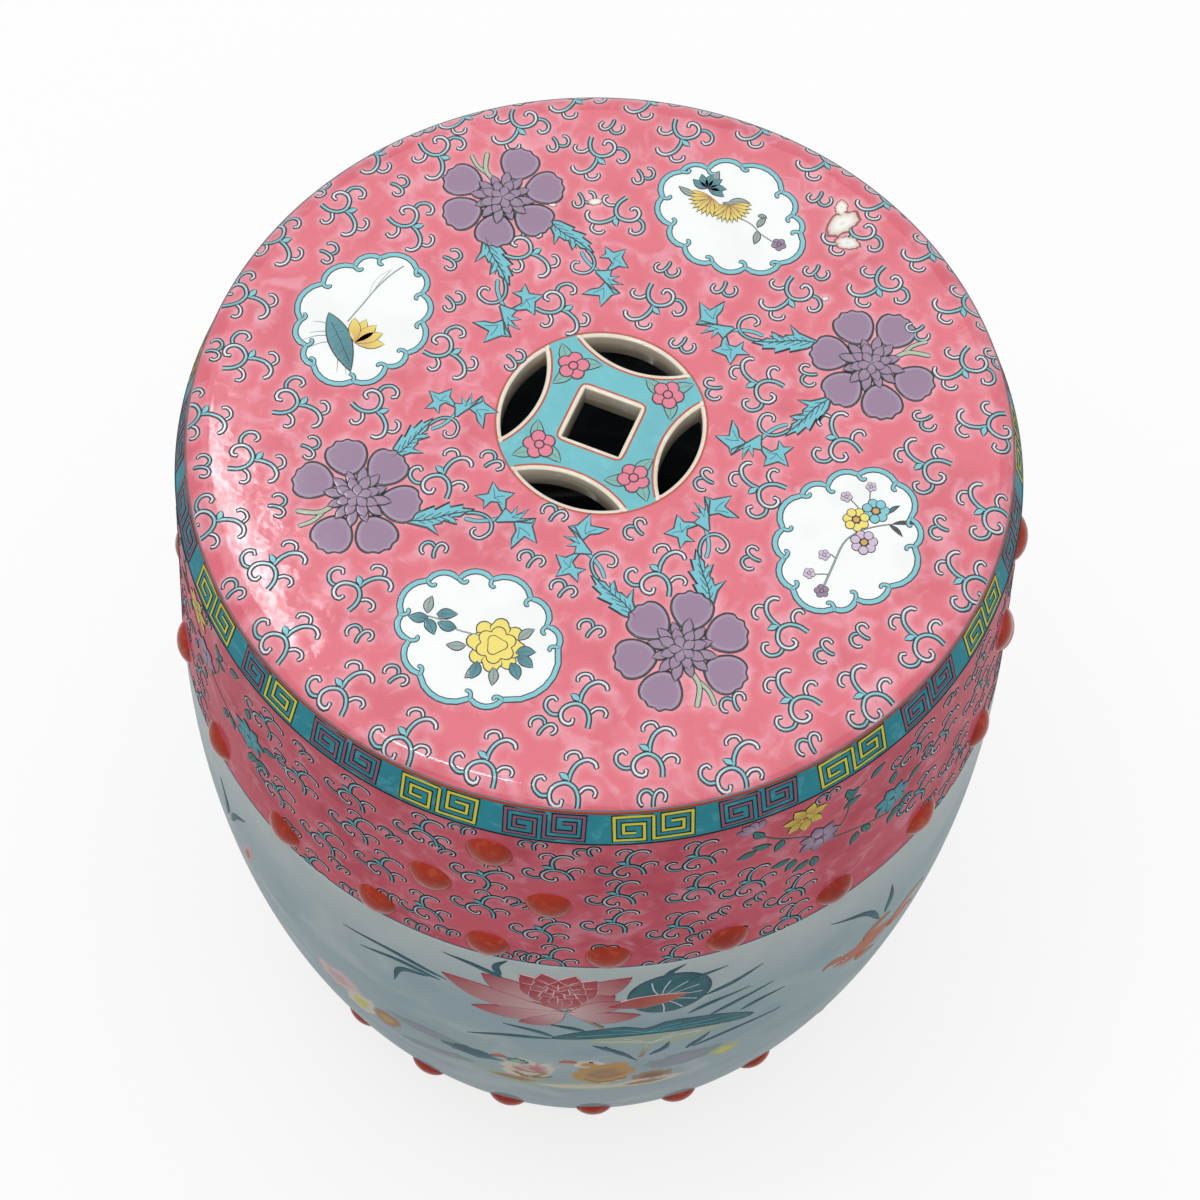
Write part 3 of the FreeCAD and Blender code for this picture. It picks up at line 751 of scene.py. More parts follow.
seatCurls = [
    (-49.4, 128.4, 0), (-88.1, 129.2, 53), (-65.6, 112, 53), (-28.5, 110.8, 53), (-45.6, 90.8, 50),
    (-114.4, 68, 90), (-142.7, 55.8, 95), (-81, 44.2, 88), (-126, 28, 90), (-72.7, 26.6, 68),
    (-40.6, 11.6, 72), (-3.5, 73.4, -5), (-16, 152.5, 20), (-118.5, 98.4, 45), (39.3, 128.4, 0),
    (50.2, 95, 0), (95.2, 85, -25), (126.4, 86.7, -30), (20.2, 73.4, 5), (14.8, 43.4, -5), (63.5, 50, -64),
    (110.6, 48.4, -35), (32.6, 30, -60), (130.6, 7.5, -92), (44.3, -7.6, -98), (71.8, -31.4, -92),
    (28.9, -36.8, -115), (118.9, -45.2, -97), (109.3, -56, -97), (86.8, -87.6, -130), (116.8, -91.8, -125),
    (14.8, -70.2, 170), (30.2, -81, 170), (29.3, -122.6, 170), (74.3, -131.8, 205), (-0.4, -42.8, 170),
    (-0.6, -63.6, 175), (-146.4, -28.9, 105), (-94.4, -53.5, 92), (-30.2, -31.8, 150), (-127.2, -76, 115),
    (-94.4, -80.2, 110), (-34.8, -73.5, 197), (-94, -116.8, 155), (-44.8, -115.2, 178), (-26, -125.2, 155),
]
seatGround = [onSeat(moved(largeScroll, *place)) for place in seatScrolls]
seatGround += [onSeat(moved(smallCurl, *place)) for place in seatCurls]


# Peonies of the seat and the leaf sprays that run from them to the coin

petalBands = [(0.35, "mauve", "mauve"), (0.7, "mauve", "mauve"), (0.885, "mauve", "mauvePetal"),
              (0.89, "line", "line"), (0.99, "line", "line"), (1.0, "line", "line")]
petalOutline = [(-9, -2.6), (-6, -6.6), (-1, -9.4), (4.2, -9.6), (7.6, -7.4), (8.4, -4.6), (10.0, -2.4),
                (9.6, 0.4), (10.2, 3.0), (8.2, 5.2), (7.2, 8.0), (3.6, 9.8), (-1.4, 9.2), (-6, 6.2),
                (-9, 2.4)]


peonyForm = {
    # degrees and distance of each petal
    "petals": [(-42, 17.2), (42, 17.2), (-150, 15.6), (150, 15.6), (-95, 16.8), (95, 16.8)],
    "petalSize": 0.83,
    # rings of the heart: how many petals, their near and far ends, half width and lift
    "heart": [(12, 3.0, 11.6, 2.0, 0.2), (8, 1.2, 8.4, 2.2, 0.29), (5, 0.0, 5.2, 2.1, 0.38)],
}


def makePeony():
    # six scalloped petals with a gap toward +x, round a full heart of pointed petals
    parts = []
    outline = easedPath(petalOutline, closed=True)[::4]
    for order, (degrees, distance) in enumerate(peonyForm["petals"]):
        petal = blot(outline, petalBands, lift=0.07 * (order // 2), dome=0.05)
        parts.append(moved(petal, *turnSpot(distance, degrees), degrees, peonyForm["petalSize"]))
    parts += [stroke([(8, 0), (15, 1.5), (23, -2)], 1.15, "stem", line=0.42, lift=-0.05),
              stroke([(12, 1), (18, 4), (24, 4.5)], 1.0, "stem", line=0.4, lift=-0.07)]
    for count, near, far, half, lift in peonyForm["heart"]:
        for k in range(count):
            heart = blade([(near, 0), ((near + far) / 2, 0), (far, 0)], half, "mauveHeart", "mauve",
                          peak=0.6, lift=lift + 0.04 * (k % 2), line=0.56)
            parts.append(moved(heart, 0, 0, 360 * (k + 0.5 * (count % 4)) / count, 1 + 0.06 * (k % 3)))
    return joined(parts)


def makeLeafSpray():
    # a saw-edged leaf, a curling tendril and a forked stem that ends in three stars
    leaf = [(0.3, 0.6), (3.1, 3.1), (9.6, 5.8), (9.6, 4.2), (15.1, 7.2), (15.3, 5.2), (20.1, 6.1),
            (19.8, 4.6), (24.2, 4.0), (21.0, 2.7), (18.9, 1.1), (16.3, 1.1), (17.6, -2.1), (12.8, -0.4),
            (12.0, -1.5), (8.9, -2.1), (10.8, -6.4), (6.8, -3.2), (2.8, -1.9), (-0.3, -1.0)]
    middleStar = [(31.7, -0.9), (34.1, 2.1), (35.3, 4.3), (37.6, 1.8), (39.8, 4.7), (39.3, 1.1), (44.0, 3.4),
                  (40.7, -0.5), (46.2, -0.5), (44.8, -2.4), (39.6, -1.7), (35.1, -1.6), (32.3, -1.7)]
    leftStar = [(24.5, 9.7), (29.2, 10.4), (31.1, 15.4), (33.2, 11.7), (38.9, 10.2), (35.8, 7.8),
                (35.5, 4.2), (34.4, 2.4), (32.7, 6.7), (30.1, 7.0), (27.4, 4.3), (27.6, 7.6)]
    rightStar = [(39.6, -1.4), (42.5, -1.4), (46.5, -0.4), (45.1, -3.7), (46.5, -10.7), (42.1, -7.8),
                 (37.0, -12.8), (37.5, -8.4), (39.1, -5.3), (38.5, -2.2)]
    veins = [stroke([(x, 0.1 * x), (x + 3.6, 0.1 * x + swing)], 0.2, "line", lift=0.06, step=3)
             for x in (2.5, 5.5, 8.5, 11.5, 14.5) for swing in (2.2, -1.8)]
    return joined([
        stroke([(20.2, 0.4), (24.4, -0.8), (29.0, -0.8), (33.6, 0.0)], 0.95, "leaf", line=0.4, lift=-0.05),
        stroke([(20.5, 2.6), (24.6, 2.5), (28.4, 0.9), (30.3, -2.3), (29.4, -5.9), (25.8, -8.1),
                (23.1, -6.6), (23.2, -4.4), (24.8, -4.0)], 1.0, "leaf", "milk", lift=-0.03),
        shapeOf(leaf, "leaf", lift=0.02),
        stroke([(0.4, -0.2), (7.4, 0.1), (14.8, 2.1), (20.7, 3.1)], 0.28, "line", lift=0.06, step=3),
        *veins,
        shapeOf(leftStar, "leaf", line=0.38, lift=0.02), shapeOf(rightStar, "leaf", line=0.38),
        shapeOf(middleStar, "leaf", line=0.38, lift=0.04),
        *[stroke([(x, y), ((x + tipX) / 2 + 0.3, (y + tipY) / 2 + 0.3), (tipX, tipY)], 0.15, "line",
                 lift=0.07, step=3)
          for x, y, tips in ((31.5, 8.6, ((31.1, 12.6), (35.4, 9.2), (34.2, 5.6))),
                             (40.2, -4.0, ((44.2, -7.8), (39.4, -9.0))),
                             (37.6, 0.2, ((42.6, 2.0), (43.4, -1.2)))) for tipX, tipY in tips],
    ])


peony, leafSpray = makePeony(), makeLeafSpray()
peonyPlaces = [(-75.2, 79.2, 133.5), (84.3, 64.2, 37), (62.7, -76, -50.5), (-69.8, -65.2, 223)]
drawnSpray = 37.7   # length of the drawn spray from its base to its middle star
# (across, up, heading in degrees, that length on the seat)
sprayPlaces = [
    (-65.2, -44.8, 62.5, 34.3), (-48.5, -66.8, 24.9, 37.7), (-53.9, 76.7, -28, 35.4), (-73.9, 60, -54, 39),
    (61.8, 64.6, 193.4, 37.7), (75.2, 43.3, 236.5, 37), (65.6, -56.4, 114.5, 37), (42.7, -71, 146.3, 36),
]
seatFlowers = [onSeat(moved(leafSpray, x, y, heading, length / drawnSpray))
               for x, y, heading, length in sprayPlaces]
seatFlowers += [onSeat(moved(peony, x, y, heading, lift=0.03)) for x, y, heading in peonyPlaces]


# White cartouches in lobed turquoise frames

# share of a lobe's width, half width of the line, degrees
lobed = {"bulge": 0.26, "half": 1.3, "curlTurn": 18}


def lobedOutline(valleys):
    # between two neighbouring valleys the frame bulges out by a sine arch of a quarter of their distance
    valleys = np.asarray(valleys, dtype=float)
    valleys = valleys if turnsLeft(valleys) else valleys[::-1]
    after = np.roll(valleys, -1, axis=0)
    share = np.linspace(0, 1, 7)[None, :-1, None]
    run = (after - valleys)[:, None]
    outward = np.stack([run[..., 1], -run[..., 0]], axis=-1)
    arch = np.sin(np.pi * share) ** 0.7 * lobed["bulge"]
    return (valleys[:, None] + share * run + arch * outward).reshape(-1, 2)


def makeFrame(valleys):
    # white ground, turquoise frame, and a small curl that turns in at each valley
    outline = lobedOutline(valleys)
    parts = [shapeOf(outline, "white", lift=-0.04),
             closedRibbon(outline, lobed["half"], "turquoise", line=0.5, lift=0.03)]
    for k, (x, y) in enumerate(valleys):
        heading = np.degrees(np.arctan2(-y, -x)) + lobed["curlTurn"] * (1 if k % 2 else -1)
        curl = stroke([(-0.6, 0), (1.0, 0.1), (2.3, 0.8), (2.5, 1.9), (1.6, 2.3)], 0.95, "turquoise",
                      line=0.45, lift=0.05, step=0.9)
        parts.append(moved(curl, x, y, heading))
    return parts


def leafAt(x, y, degrees, length, half, fill, fade=None, lift=0.04, edge="line"):
    # a pointed leaf with a dark midrib
    leaf = joined([
        blade([(0, 0), (length / 2, 0.06 * length), (length, 0)], half, fill, fade, lift=lift, line=0.48,
              edge=edge),
        stroke([(0.3, 0), (length / 2, 0.06 * length), (0.85 * length, 0.02 * length)], 0.17, edge,
               lift=lift + 0.03, edge=edge, step=3),
    ])
    return moved(leaf, x, y, degrees)


def rosette(x, y, radius, petals, fill, heart, turn=0.0, lift=0.1, edge="line"):
    # round petals about a small heart
    parts = []
    size = radius * np.sin(np.pi / petals) / (1 + np.sin(np.pi / petals)) * 1.25
    petal = blot(oval(size, size, turns=12, pinch=0),
                 [(0.7, fill, fill), (0.8, fill, fill), (0.805, edge, edge),
                  (0.96, edge, edge), (1, edge, edge)], dome=0.04)
    for k in range(petals):
        degrees = turn + 360 * k / petals
        parts.append(moved(petal, *turnSpot(radius - size, degrees), lift=0.04 * (k % 2) + lift))
    middle = blot(oval(0.34 * radius, 0.34 * radius, turns=10, pinch=0),
                  [(0.66, heart, heart), (0.67, edge, edge), (0.94, edge, edge), (1, edge, edge)],
                  lift=lift + 0.1, dome=0.04)
    return moved(joined(parts + [middle]), x, y)


def fanOf(x, y, length, half, fill, fade, headings, lift):
    # pointed petals from one place, one for each heading, over one another by threes
    petals = [blade([(0, 0), (length / 2, 0), (length, 0)], half, fill, fade, line=0.32, peak=0.55,
                    lift=lift + 0.03 * (k % 3), rows=8) for k in range(len(headings))]
    return joined([moved(petal, x, y, degrees) for petal, degrees in zip(petals, headings)])


def paintChrysanthemum():
    # two yellow fans over a whorl of teal leaves, and a small mauve flower on a stem
    parts = [stroke([(0, 0.5), (5, -0.5), (9, -1.5), (13, -4), (20, -6)], 0.32, "grey", line=0.14, step=2),
             leafAt(-16, 3, 170, 9, 1.7, "grey"), leafAt(-4, 5, 20, 9, 1.9, "grey"),
             leafAt(-12, 11, 95, 7, 1.7, "grey"), leafAt(-6, 4, -5, 9, 1.5, "grey"),
             leafAt(11, -2, 75, 6.5, 1.5, "grey"), leafAt(11.5, -3, -80, 7, 1.7, "grey"),
             leafAt(9, 3.5, 10, 4, 1.2, "grey")]
    parts += [leafAt(-13.6, 8, degrees, 7.5, 2.0, "teal", "tealLight", 0.06)
              for degrees in (165, 130, 95, 60, 20, -10)]
    parts += [fanOf(-10.5, 4.5, 9.5, 1.15, "ochre", "yellow", range(180, 330, 14), 0.08),
              fanOf(-3.0, 4.0, 9.0, 1.15, "ochre", "yellow", range(215, 390, 14), 0.09),
              rosette(21.6, -6, 3.1, 5, "mauve", "mauveDeep")]
    return parts


def paintLotusBud():
    # an opening yellow bud behind a broad teal leaf with its ribs, under grasses
    rib = [(-9.5, -6.5), (-3.0, -12.5), (4.5, -20)]
    parts = [stroke([(-4, -4), (-2, 6), (-0.5, 14), (2, 22), (5, 28)], 0.3, "grey", line=0.14, step=3),
             blade([(-1.5, 10), (-1.2, 18), (1.5, 25)], 1.1, "white", line=0.2)]
    for root, tip in (((-7, -12), (-16, -18)), ((-5, -14), (-13, -21)), ((-4, -10), (-15, -14)),
                      ((-2, -18), (2, -26)), ((0, -19), (6, -26)), ((-8, -8), (-16, -9))):
        bend = (root[0] * 0.45 + tip[0] * 0.55, root[1] * 0.5 + tip[1] * 0.5 + 0.8)
        parts.append(stroke([root, bend, tip], 0.24, "teal", line=0.1, step=3, taper=0.4))
    parts += [fanOf(2.6, -11.5, 11.5, 2.5, "ochre", "yellow", (20, 45, 115, 92, 68), 0.05),
              blade([(-12.4, -2.8), (-4.0, -11.5), (7.0, -24)], 4.7, "tealLight", "teal", lift=0.12,
                    rows=14),
              stroke(rib, 0.2, "line", lift=0.17, step=3)]
    parts += [stroke([(x, y), (x + 2.6, y + 1.4)], 0.12, "line", lift=0.17) for x, y in
              ((-8.2, -7.6), (-5.6, -9.8), (-3.0, -12.4), (-0.5, -15), (2.0, -17.4))]
    parts += [stroke([(x, y), (x - 1.2, y - 2.6)], 0.12, "line", lift=0.17) for x, y in
              ((-7.6, -8.2), (-5.0, -10.6), (-2.4, -13.2), (0.2, -15.8), (2.6, -18.2))]
    return parts


def paintPeony():
    # a full yellow flower with leaves at both ends of its stem
    parts = [stroke([(-20, 2.2), (-14, 2.6), (-8, 1.4), (2, 2.6)], 0.36, "grey", line=0.13, step=3)]
    for x, y, degrees, fill in ((-20, 3, 100, "grey"), (-16, 3, 35, "grey"), (14, 6, 60, "grey"),
                                (-2, -3, 200, "grey"), (10, -7, -70, "grey"), (5, -8, -110, "grey")):
        parts.append(leafAt(x, y, degrees, 7.5, 2.0, fill))
    for x, y, degrees in ((-19, 2, 200), (-20, 1, -40), (-17, 4, 20), (-8, 2, 185), (15, 1, 25),
                          (16, 0, -15), (15, -3, -45), (4, -7, -85)):
        parts.append(leafAt(x, y, degrees, 7.5, 2.3, "teal", "tealLight", 0.06))
    bands = [(0.4, "yellow", "yellow"), (0.86, "yellow", "yellow"), (0.865, "line", "line"),
             (0.97, "line", "line"), (1, "line", "line")]
    for count, distance, size, lift in ((8, 6.4, 4.4, 0.0), (6, 3.5, 3.9, 0.1), (3, 1.2, 2.9, 0.2)):
        petal = blot(oval(size, size * 0.95, 3, 0.2, 18), bands, dome=0.08)
        parts += [moved(petal, 7.6 + turnSpot(distance, turn)[0], 1.2 + turnSpot(distance, turn)[1], turn,
                        lift=lift + 0.04 * (turn % 2))
                  for turn in range(7 * count, 360 + 7 * count, 360 // count)]
    return parts


def paintPrunus():
    # three open blossoms and five small ones on a bare branch
    parts = [stroke([(-3.4, -23), (-3.2, -12), (-2.8, -2), (0, 4), (4, 8), (9, 11.5), (14, 14)], 0.5, "grey",
                    line=0.22, taper=0.6, step=2),
             stroke([(-3, -9), (-6, -8), (-9, -10)], 0.25, "line"),
             stroke([(-3.2, -16), (-6, -17), (-10, -19)], 0.25, "line"),
             stroke([(0, 12), (-4, 15), (-8, 17)], 0.25, "line"),
             stroke([(2, 14), (0, 19), (-1.5, 24)], 0.25, "line"), leafAt(11, 13, 20, 9, 1.0, "line"),
             leafAt(10, 12, -25, 7, 1.0, "line"), leafAt(8, 16, 60, 6, 1.0, "teal")]
    for x, y, radius, fill in ((-1.8, 9.2, 5.2, "yellow"), (3.6, 15.4, 5.4, "turquoise"),
                               (4, 1.4, 5.3, "mauvePale"), (-7.6, -9.2, 2.4, "mauvePale"),
                               (-3.4, -23.4, 2.9, "mauve"), (-10, -18.4, 2.4, "mauvePale"),
                               (-8.4, 16.8, 2.4, "mauvePale"), (-1.4, 24.4, 2.2, "mauvePale")):
        parts.append(rosette(x, y, radius, 7 if radius > 4 else 5, fill, "ochre" if radius > 4 else fill,
                             turn=7 * x))
    return parts


cartouches = [
    ((-6.4, -101.6), [(-4.2, 24.8), (-15.4, 20.2), (-25.4, 15.2), (-28.4, -1), (-21.6, -9), (-12.6, -19.8),
                      (7.4, -21.4), (18.2, -17.4), (28.2, 9), (21.2, 15.2), (11.6, 23.2)], paintPeony),
    ((11, 107.6), [(-17, 17), (-26.2, 11.6), (-28.6, -3), (-20.4, -14.2), (-12, -21.4), (0.8, -24.2),
                   (13.4, -21.4), (25, -14.2), (27.4, 2.4), (21.6, 9), (13.8, 18.2), (-5.4, 23.6)],
     paintChrysanthemum),
    ((-102, 6.4), [(-4.8, 27.8), (10.2, 28.6), (16.8, 19), (22.2, 7.4), (22.6, -8), (18, -16.2),
                   (9.4, -27.2), (-7.4, -26.6), (-13.6, -19.8), (-20.6, -10.4), (-20.2, 8.2), (-12.4, 20.2)],
     paintLotusBud),
    ((103.6, -11), [(-16.4, 18.4), (-7.6, 27.5), (6.6, 29.6), (16.4, 17.6), (21.6, 7), (18.6, -12),
                    (9, -21.6), (3.2, -28.4), (-13.4, -26.6), (-20.6, -16.2), (-25.2, -5), (-23.8, 10.8)],
     paintPrunus),
]
seatPanels = [onSeat(moved(part, *middle)) for middle, valleys, paint in cartouches
              for part in makeFrame(valleys) + paint()]


# The coin: brick-red lines round its openings, and four blossoms on the turquoise web

coin = {
    "radius": 37.8,      # the circle that bounds the lens openings
    "lensWidth": 12.3,   # widest part of a lens
    "lensReach": 34.1,   # degrees from the middle of a lens to its tip
    "squareHalf": 11.4,  # half the square opening's side
    "lip": 1.6,          # bare clay lip round each opening
    "lipDrop": 0.6,      # how far that lip rounds down
    "lineGap": 0.3,      # from the lip to the middle of its brick-red line
    "lineHalf": 0.45,
    "turns": 320,
}
lensMiddle = 2 * coin["radius"] - coin["lensWidth"]   # a lens's inner arc is a circle about it


def makeCoinDrawing():
    # the square's corners are eased as a curve of the twelfth power: r = a / (cos^12 + sin^12)^(1/12)
    gap, line = coin["lip"] + coin["lineGap"], {"half": coin["lineHalf"], "fill": "brick", "lift": -0.1}
    angle = fullTurn(64)[0]
    square = (coin["squareHalf"] + gap) / (np.cos(angle) ** 12 + np.sin(angle) ** 12) ** (1 / 12)
    sweep = np.radians(180 + np.linspace(-34.5, 34.5, 12))
    arc = (coin["radius"] + gap) * np.stack([np.cos(sweep), np.sin(sweep)], axis=1) + (lensMiddle, 0)
    lens = stroke(arc, edge="brick", **line)
    parts = [ringDrawn(coin["radius"] + gap - 0.05, **line), ringDrawn(square, turns=64, **line)]
    parts += [moved(lens, 0, 0, 90 * k) for k in range(4)]
    for x, y in ((-19.2, 18.4), (18.4, 20.6), (20.2, -17.8), (-17.4, -18.4)):
        outward = np.degrees(np.arctan2(y, x))
        parts += [leafAt(x, y, outward + swing, 11.2, 2.8, "coinLeaf", lift=-0.04)
                  for swing in (0, 112, -112)]
        parts.append(rosette(x, y, 6.5, 5, "petal", "petal", turn=outward + 36, lift=0.12))
    return [onSeat(part) for part in parts]


# Chips in the enamel: one of three bites beside the far cartouche, and three small ones


def makeChips():
    # bare clay with a burnt edge, its outline an oval times a share that varies by 14 in a hundred
    rng = np.random.default_rng(7)
    parts = []
    for x, y, length, half, turn in ((52, 121, 8.5, 5.0, 60), (57, 113, 5.5, 3.6, 20),
                                     (49, 128, 4.2, 2.8, 100), (-41, 92, 3.2, 1.8, 30),
                                     (-56, 84, 2.0, 1.2, 0), (58, 85, 1.6, 1.1, 40)):
        outline = oval(length, half, turns=30, pinch=0) * (1 + 0.28 * rng.random((30, 1)) - 0.14)
        bands = [(0.3, "bare", "white"), (0.6, "white", "bare"), (0.8, "bare", "blush"),
                 (0.9, "burnt", "burnt"), (1.0, "petalDeep", "petalDeep")]
        parts.append(moved(blot(outline, bands, lift=0.1, dome=0.05), x, y, turn))
    return [onSeat(part) for part in parts]


# The fret band and the lines that bound it

fret = {
    "count": 26,
    "first": -143.8,    # degrees of the first unit's upright
    "half": 1.02,       # half width of the line
    "low": 441.9,       # height of a unit's foot
    "changeover": 2,    # the unit in which the two colours change places
}


def makeFretUnit(leftFill, rightFill):
    # two square spirals joined by an upright, each the other one turned half round
    half = [(0, 1.0), (13.8, 1.0), (13.8, 12.0), (3.3, 12.0), (3.3, 4.4), (10.6, 4.4), (10.6, 8.6),
            (6.2, 8.6)]
    turned = [(-x, 13.0 - y) for x, y in half]
    return joined([mitred([(0, 12.0)] + half, fret["half"], rightFill),
                   mitred(turned, fret["half"], leftFill, lift=-0.03)])


def fretFills(k):
    # mauve and yellow units take turns, and the painter changed over inside the third one
    early, late = ("bandYellow", "bandMauve") if k % 2 else ("bandMauve", "bandYellow")
    return early if k <= fret["changeover"] else late, early if k < fret["changeover"] else late


def makeBand():
    # equal units round the wall, cut off at the lines that bound the band
    return [onWall(makeFretUnit(*fretFills(k)), fret["first"] + 360 / fret["count"] * k, fret["low"],
                   bandFoot + 0.6, stool["rimHeight"] - 1.2) for k in range(fret["count"])]


def turnedLine(low, high, lift, fill):
    # a thin raised line round the wall between two heights, as a turned strip with sunk edges
    turns = 360
    angles = fullTurn(turns)
    heights = np.array([high, high - 0.12, low + 0.12, low])[:, None]
    radii = wallAt(heights) - wallRelief + np.array([-0.1, lift, lift, -0.1])[:, None] + 0 * angles
    points = turnedPoints(radii, heights + 0 * angles, angles)
    faces = gridQuads(4, turns)[:, ::-1]
    return drawn(points, faces, np.broadcast_to(shade(fill), (len(faces), 4, 3)))


# Scrollwork of the shoulder: one stretch, drawn round the front crest and set round each of the four

stretch = {"crest": -81.4, "sprayHeight": 405}   # degrees of the front crest's middle, height of the sprays
# (degrees, height, turn in degrees)
shoulderScrolls = [
    (-63.8, 425.5, 180), (-55, 425, 183), (-73.1, 420.6, 186), (-90.2, 425.5, 178), (-100.75, 425.5, 176),
    (-64.9, 402, 180), (-54.8, 399.5, 183), (-82, 405, 148), (-82.1, 381.5, 170), (-74.2, 369, 160),
    (-65.2, 378.8, 169), (-57, 370, 180), (-47.7, 392.9, 181), (-41.2, 370.9, 172), (-100.1, 401.3, 172),
    (-96.1, 381.5, 170), (-105.2, 372.7, 168), (-90, 363, 190), (-109.6, 407, 160), (-116, 424, 157),
    (-113.9, 377.5, 160), (-107.8, 341, 165), (-73, 345.4, 175), (-57.4, 342.7, 180), (-41.5, 347, 175),
]
shoulderCurls = [
    (-108.5, 430, 150), (-94.7, 409.6, 150), (-112.9, 407, 100), (-102.7, 357.7, 165), (-117.4, 381, 170),
    (-84.8, 437, 180), (-75.7, 437, 185), (-68.9, 435.6, 200), (-87.4, 416, 155), (-77.5, 388.5, 140),
    (-51.4, 373.5, 220), (-46.6, 376, 215), (-54, 357.7, 200), (-37.1, 436, 180), (-76, 345, 180),
    (-86.6, 349, 180), (-79.6, 341, 180), (-100.9, 342.7, 180), (-90.9, 343.6, 180), (-66, 356, 170),
    (-95, 358, 190), (-49, 352, 190), (-111, 357, 170),
]


def makeShoulderSpray():
    # a trailing spray between two crests: yellow, mauve and teal flowers among green leaves
    parts = [stroke([(-38, 26), (-27, 14), (-16, 6), (-4, -6), (8, -12), (25, -20)], 0.4, "green", line=0.18,
                    step=3, lift=-0.05),
             stroke([(-4, -6), (2, 6), (3, 18), (10, 24)], 0.35, "green", line=0.16, step=3, lift=-0.06)]
    for x, y, degrees in ((-36, 12, 200), (-30, 12, 160), (-26, 13, 250), (-33, 20, 120), (-22, -6, 190),
                          (-20, -8, 240), (-14, -14, 215), (-12, -14, 270), (2, 16, 60), (4, 18, 110),
                          (0, 12, 20), (8, -15, 250), (10, -14, 300), (27, -21, 250), (26, -20, 310),
                          (30, -20, 350), (12, 22, 40), (34, -6, 30), (24, 4, 80)):
        parts.append(leafAt(x, y, degrees, 8.5, 2.2, "green", "tealLight", lift=0.0))
    parts += [fanOf(-16.8, 22, 9.5, 2.7, "ochre", "yellow", (20, 70, 120, 172, 222, 270, 318), 0.06),
              rosette(-16.8, 22, 3.0, 5, "yellow", "ochre", lift=0.13),
              fanOf(-10, 0, 9.5, 2.9, "mauvePale", "mauve", (0, 52, 104, 156, 208, 260, 312), 0.05),
              rosette(-10, 0, 3.2, 5, "mauve", "mauveDeep", lift=0.13),
              fanOf(-37, 28, 7.5, 2.3, "mauvePale", "mauve", (60, 95, 130, 165), 0.05),
              fanOf(25, -9, 10, 2.8, "leaf", "tealLight", (10, 60, 110, 160, 215, 265, 315), 0.05),
              rosette(25, -9, 3.4, 5, "leaf", "teal", lift=0.13)]
    return joined(parts)


def makeShoulderGround(crests):
    # scrollwork and sprays: each stretch runs half way to the next crest on either side
    shoulder = (seamHeight + 0.5, bandFoot - 1.0)
    crests = np.sort(np.asarray(crests) % 360)
    gaps = np.diff(np.append(crests, crests[0] + 360))
    parts, flowers = [], []
    for crest, before, after in zip(crests, np.roll(gaps, 1) / 2, gaps / 2):
        for items, drawing in ((shoulderScrolls, largeScroll), (shoulderCurls, smallCurl)):
            for degrees, height, turn in items:
                if -before + 0.5 < degrees - stretch["crest"] < after + 0.5:
                    scroll = moved(drawing, 0, 0, turn)
                    parts.append(onWall(scroll, crest + degrees - stretch["crest"], height, *shoulder))
        flowers.append(onWall(makeShoulderSpray(), crest + after, stretch["sprayHeight"], *shoulder))
    return parts, flowers


# The lotus pond painted on the belly, across from its middle and up from the floor

pond = {
    "middles": {"pondFront": -72, "pondBack": 108},   # degrees
    "reedHalf": 1.7,
    "facet": 9,      # longest side of a facet, so that broad shapes follow the curve of the belly
    "rough": 0.12,   # how ragged a washed patch is
}


def softBlot(x, y, length, half, turn, inner, outer, lift=0.0, seed=0):
    # a cloudy patch of colour that thins out into the ground
    rough = 1 + pond["rough"] * np.random.default_rng(seed).standard_normal((26, 1))
    outline = oval(length, half, turns=26, pinch=0.1) * rough
    bands = [(0.35, inner, inner), (0.6, inner, outer), (0.82, outer, outer), (1.0, outer, "pond")]
    return moved(blot(outline, bands, lift=lift, dome=0.1), x, y, turn)


def paintReeds():
    # grass blades, each from its root to its tip
    blades = [
        ((-46, 300), (-70, 306), (-94, 303)), ((-49, 297), (-68, 299), (-86, 292)),
        ((-54, 296), (-67, 290), (-71, 272)), ((-21, 318), (-34, 325), (-47, 328)),
        ((-23, 320), (-25, 329), (-20, 337)), ((42, 320), (44, 328), (50, 334)),
        ((50, 310), (56, 318), (68, 322)), ((60, 296), (72, 302), (84, 311)),
        ((54, 278), (64, 285), (80, 290)), ((64, 269), (76, 277), (91, 284)),
        ((78, 262), (87, 267), (98, 269)), ((-1, 257), (-10, 263), (-23, 266)),
        ((-1, 255), (-22, 250), (-39, 239)), ((12, 267), (5, 271), (-5, 274)),
        ((15, 247), (27, 234), (35, 218)), ((59, 227), (77, 236), (99, 239)),
        ((32, 226), (24, 238), (20, 246)), ((40, 226), (46, 234), (48, 244)),
        ((56, 226), (62, 236), (66, 244)), ((148, 272), (137, 296), (115, 315)),
        ((151, 274), (152, 290), (150, 305)), ((-176, 274), (-173, 290), (-175, 310)),
        ((-172, 275), (-165, 292), (-154, 306)), ((-224, 142), (-216, 166), (-207, 193)),
        ((-202, 215), (-212, 205), (-224, 200)),
    ]
    return [blade(points, pond["reedHalf"], "teal", "reed", "reed", 0.2, 0.3, rows=10) for points in blades]


